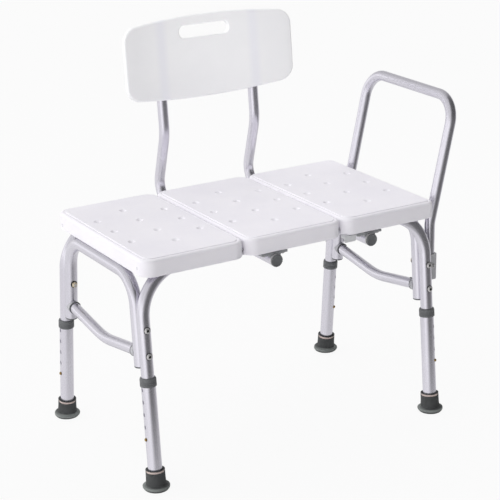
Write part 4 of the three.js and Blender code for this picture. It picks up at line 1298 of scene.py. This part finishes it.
# small blind plugs in the seat's left and right faces
for letter, side, extra in (("L", -1, 0), ("R", 1, RIGHT_EXTRA)):
    face = SEAT_LENGTH / 2 - SEAM / 2 + extra
    for end_letter, end, z in (("F", -1, 446.5), ("B", 1, 442.5)):
        base = v3(side * face, end * SEAT_PLUG_Y, z)
        fit(make(f"End_Plug_{letter}_{end_letter}",
                 turned(SEAT_PLUG_PROFILE, base, (side, 0, 0), 32), PLUG_PLASTIC))

# ---------------------------------------------------------------- arm rail
RAIL_FOOT = BRACKET_LOW + 6.5
RAIL_TOP_X = RAIL_X + RAIL_LEAN * (RAIL_TOP - RAIL_KINK)
fit(tube("Arm_Rail",
         [v3(RAIL_X, -RAIL_Y, RAIL_FOOT), v3(RAIL_X, -RAIL_Y, RAIL_KINK),
          v3(RAIL_TOP_X, -RAIL_Y, RAIL_TOP), v3(RAIL_TOP_X, RAIL_Y, RAIL_TOP),
          v3(RAIL_X, RAIL_Y, RAIL_KINK), v3(RAIL_X, RAIL_Y, RAIL_FOOT)],
         [RAIL_KINK_BEND, RAIL_BEND, RAIL_BEND, RAIL_KINK_BEND],
         RAIL, RAIL - RAIL_WALL, 44, step=3.0),
    "arm_rail")


def rail_bracket(end_name, end):
    """A block that joins the rail to the end frame, and its bolt."""
    y = end * RAIL_Y
    leg = LEGS[1, end]
    corners = [(RAIL_X - 0.6 + dx, y + dy, 6)
               for dx, dy in ((7.2, 7.6), (-7.2, 7.6), (-7.2, -7.6), (7.2, -7.6))]
    obj = plate(end_name.title() + "_Rail_Bracket", corner_arcs(corners, 8),
                BRACKET_LOW, BRACKET_HIGH, 1.2, BRACKET_METAL, axis="z")
    boolean(obj, [
        rod(RAIL + 0.4, (RAIL_X, y, BRACKET_LOW + 6), (RAIL_X, y, BRACKET_HIGH + 5), 56),
        rod(TUBE + 0.35, leg.at(BRACKET_LOW - 30, END_INSET),
            leg.at(BRACKET_HIGH + 30, END_INSET), 56),
        rod(2.9, (RAIL_X, y - 25, RAIL_BOLT_Z), (RAIL_X, y + 25, RAIL_BOLT_Z), 32)])
    fit(obj, end_name + "_rail_bracket")
    fit(bolt(end_name.title() + "_Rail_Bolt", v3(RAIL_X, end * (RAIL_Y + 13.9), RAIL_BOLT_Z),
             (0, end, 0), length=27, shank=2.5, head=5.0, height=2.8, socket=1.8),
        end_name + "_rail_bolt")


for end_name, end in ENDS:
    rail_bracket(end_name, end)

# ---------------------------------------------------------------- studio
# brightness added from the left and from behind, the level elsewhere,
# and the share left towards the front right
STUDIO_LEFT, STUDIO_BACK, STUDIO_BASE, STUDIO_DIM = 0.62, 0.2, 0.78, 0.2
DIFFUSE, GLOSSY = 1.16, 0.92  # gain of the studio as light and as reflection
ZENITH = 0.58  # share of the reflection left overhead
FLOOR_GLOW = 0.95  # how much of the floor seen by the camera is plain backdrop
FLOOR_GLOSS = 1.0  # how much of the floor seen in reflections is studio
NEAR_SHARE, NEAR_LEVEL = 0.85, 0.79  # even light that the reflected floor fades to at the rear
BACKDROP = (0.973, 0.973, 0.973, 1)
LIGHT_TONE = (1.0, 0.995, 1.0, 1)


def studio(net, vector):
    """How bright the studio is in a direction."""
    left = net.lobe(vector, (-0.95, 0.05, 0.1), 0.0, STUDIO_LEFT, start=-0.1, stop=0.9)
    dim = net.lobe(vector, (0.64, -0.77, 0.0), 1.0, STUDIO_DIM, start=-0.1, stop=0.8, flat=True)
    back = net.lobe(vector, (0.2, 0.9, 0.2), 0.0, STUDIO_BACK, start=0.1, stop=0.95)
    bright = net.maths("ADD", net.maths("ADD", left, back), STUDIO_BASE)
    return net.maths("MULTIPLY", bright, dim)


def floor_material():
    """Backdrop to the camera, studio to reflections, a white floor to other rays."""
    made = bpy.data.materials.new("pale_floor")
    net = Shader(made)
    ray = net.node("LightPath")
    geometry = net.node("NewGeometry")
    outward = net.node("VectorMath", {0: geometry.outputs["Incoming"], "Scale": -1.0},
                       operation="SCALE").outputs[0]
    place = net.node("SeparateXYZ", {0: geometry.outputs["Position"]})
    near = net.remap(place.outputs["Y"], 0.0, NEAR_SHARE, start=-1.15, stop=0.15,
                     curve="SMOOTHSTEP")
    far = net.maths("MULTIPLY", net.maths("MULTIPLY", studio(net, outward), GLOSSY),
                    net.maths("SUBTRACT", 1.0, near))
    strength = net.maths("ADD", far, net.maths("MULTIPLY", near, NEAR_LEVEL))
    matt = net.node("BsdfDiffuse", {"Color": (0.9, 0.9, 0.9, 1)})
    reflected = net.node("Emission", {"Color": LIGHT_TONE, "Strength": strength})
    glow = net.node("Emission", {"Color": BACKDROP})
    unseen = net.node("MixShader", {
        0: net.maths("MULTIPLY", ray.outputs["Is Glossy Ray"], FLOOR_GLOSS),
        1: matt.outputs[0], 2: reflected.outputs[0]})
    surface = net.node("MixShader", {
        0: net.maths("MULTIPLY", ray.outputs["Is Camera Ray"], FLOOR_GLOW),
        1: unseen.outputs[0], 2: glow.outputs[0]})
    net.node("OutputMaterial", {0: surface.outputs[0]})
    return made


def floor():
    half = 30.0
    z = min(0.0, CAD_LOW[2]) - 0.0004
    mesh = bpy.data.meshes.new("Floor")
    mesh.from_pydata([(-half, -half, z), (half, -half, z), (half, half, z), (-half, half, z)],
                     [], [(0, 1, 2, 3)])
    obj = link("Floor", mesh)
    mesh.materials.append(floor_material())


def world():
    """Backdrop to the camera, studio to all other rays."""
    made = bpy.data.worlds.new("Studio")
    bpy.context.scene.world = made
    net = Shader(made)
    direction = net.node("TexCoord").outputs["Generated"]
    glossy_ray = net.node("LightPath").outputs["Is Glossy Ray"]
    camera_ray = net.node("LightPath").outputs["Is Camera Ray"]
    glossy = net.lobe(direction, (0, 0, 1), GLOSSY, GLOSSY * ZENITH, start=-0.05, stop=0.4)
    extra = net.maths("MULTIPLY", glossy_ray, net.maths("SUBTRACT", glossy, DIFFUSE))
    gain = net.maths("ADD", extra, DIFFUSE)
    strength = net.maths("MULTIPLY", studio(net, direction), gain)
    light = net.node("Background", {"Color": LIGHT_TONE, "Strength": strength})
    seen = net.node("Background", {"Color": BACKDROP, "Strength": 1.0})
    mixed = net.node("MixShader", {0: camera_ray, 1: light.outputs[0], 2: seen.outputs[0]})
    net.node("OutputWorld", {0: mixed.outputs[0]})


def lamp(name, kind, place, target, energy, **settings):
    """A lamp that neither the camera nor reflections see. Metres and watts."""
    data = bpy.data.lights.new(name, kind)
    data.energy = energy
    for key, value in settings.items():
        setattr(data, key, value)
    obj = link(name, data)
    obj.location = place
    obj.rotation_mode = "QUATERNION"
    obj.rotation_quaternion = (Vector(target) - Vector(place)).to_track_quat("-Z", "Y")
    obj.visible_camera = False
    obj.visible_glossy = False


floor()
world()
lamp("Key_Left", "AREA", place=(-2.6, -0.3, 1.1), target=(0, 0, 0.35), energy=1.5,
     shape="RECTANGLE", size=1.4, size_y=2.2)
lamp("Top_Soft", "AREA", place=(0.9, 0.6, 2.0), target=(0.2, 0, 0.45), energy=6.5,
     shape="RECTANGLE", size=1.6, size_y=1.6)
# from the front, on to the backrest
lamp("Back_Lift", "SPOT", place=(-0.9, -2.9, 1.35), target=(0.03, 0.22, 0.74), energy=104,
     spot_size=math.radians(13), spot_blend=0.6, shadow_soft_size=0.25)

# ---------------------------------------------------------------- camera
# in front of the seat and to its left, looking down at it; angles in radians
AZIMUTH, PITCH, ROLL = 0.54406631, 0.33473489, -0.01391315
CAMERA_TARGET = v3(8.7306812, 0, 369.22879187)
CAMERA_DISTANCE = 3425.73231583
LENS, SENSOR = 118.69034709, 36.0


def camera():
    ahead = v3(math.sin(AZIMUTH) * math.cos(PITCH), math.cos(AZIMUTH) * math.cos(PITCH),
               -math.sin(PITCH))
    level = v3(math.cos(AZIMUTH), -math.sin(AZIMUTH), 0)
    upright = np.cross(level, ahead)
    right = math.cos(ROLL) * level + math.sin(ROLL) * upright
    up = -math.sin(ROLL) * level + math.cos(ROLL) * upright
    place = (CAMERA_TARGET - ahead * CAMERA_DISTANCE - ORIGIN) * 0.001
    data = bpy.data.cameras.new("Camera")
    data.sensor_width = SENSOR
    data.sensor_fit = "HORIZONTAL"
    data.lens = LENS
    data.clip_end = 200
    obj = link("Camera", data)
    rows = [tuple(row) for row in np.stack([right, up, -ahead, place], 1)]
    obj.matrix_world = Matrix(rows + [(0, 0, 0, 1)])
    return obj


scene = bpy.context.scene
scene.camera = camera()
scene.view_settings.view_transform = "Standard"
scene.view_settings.look = "None"
scene.view_settings.exposure = 0.0

bpy.context.view_layer.update()
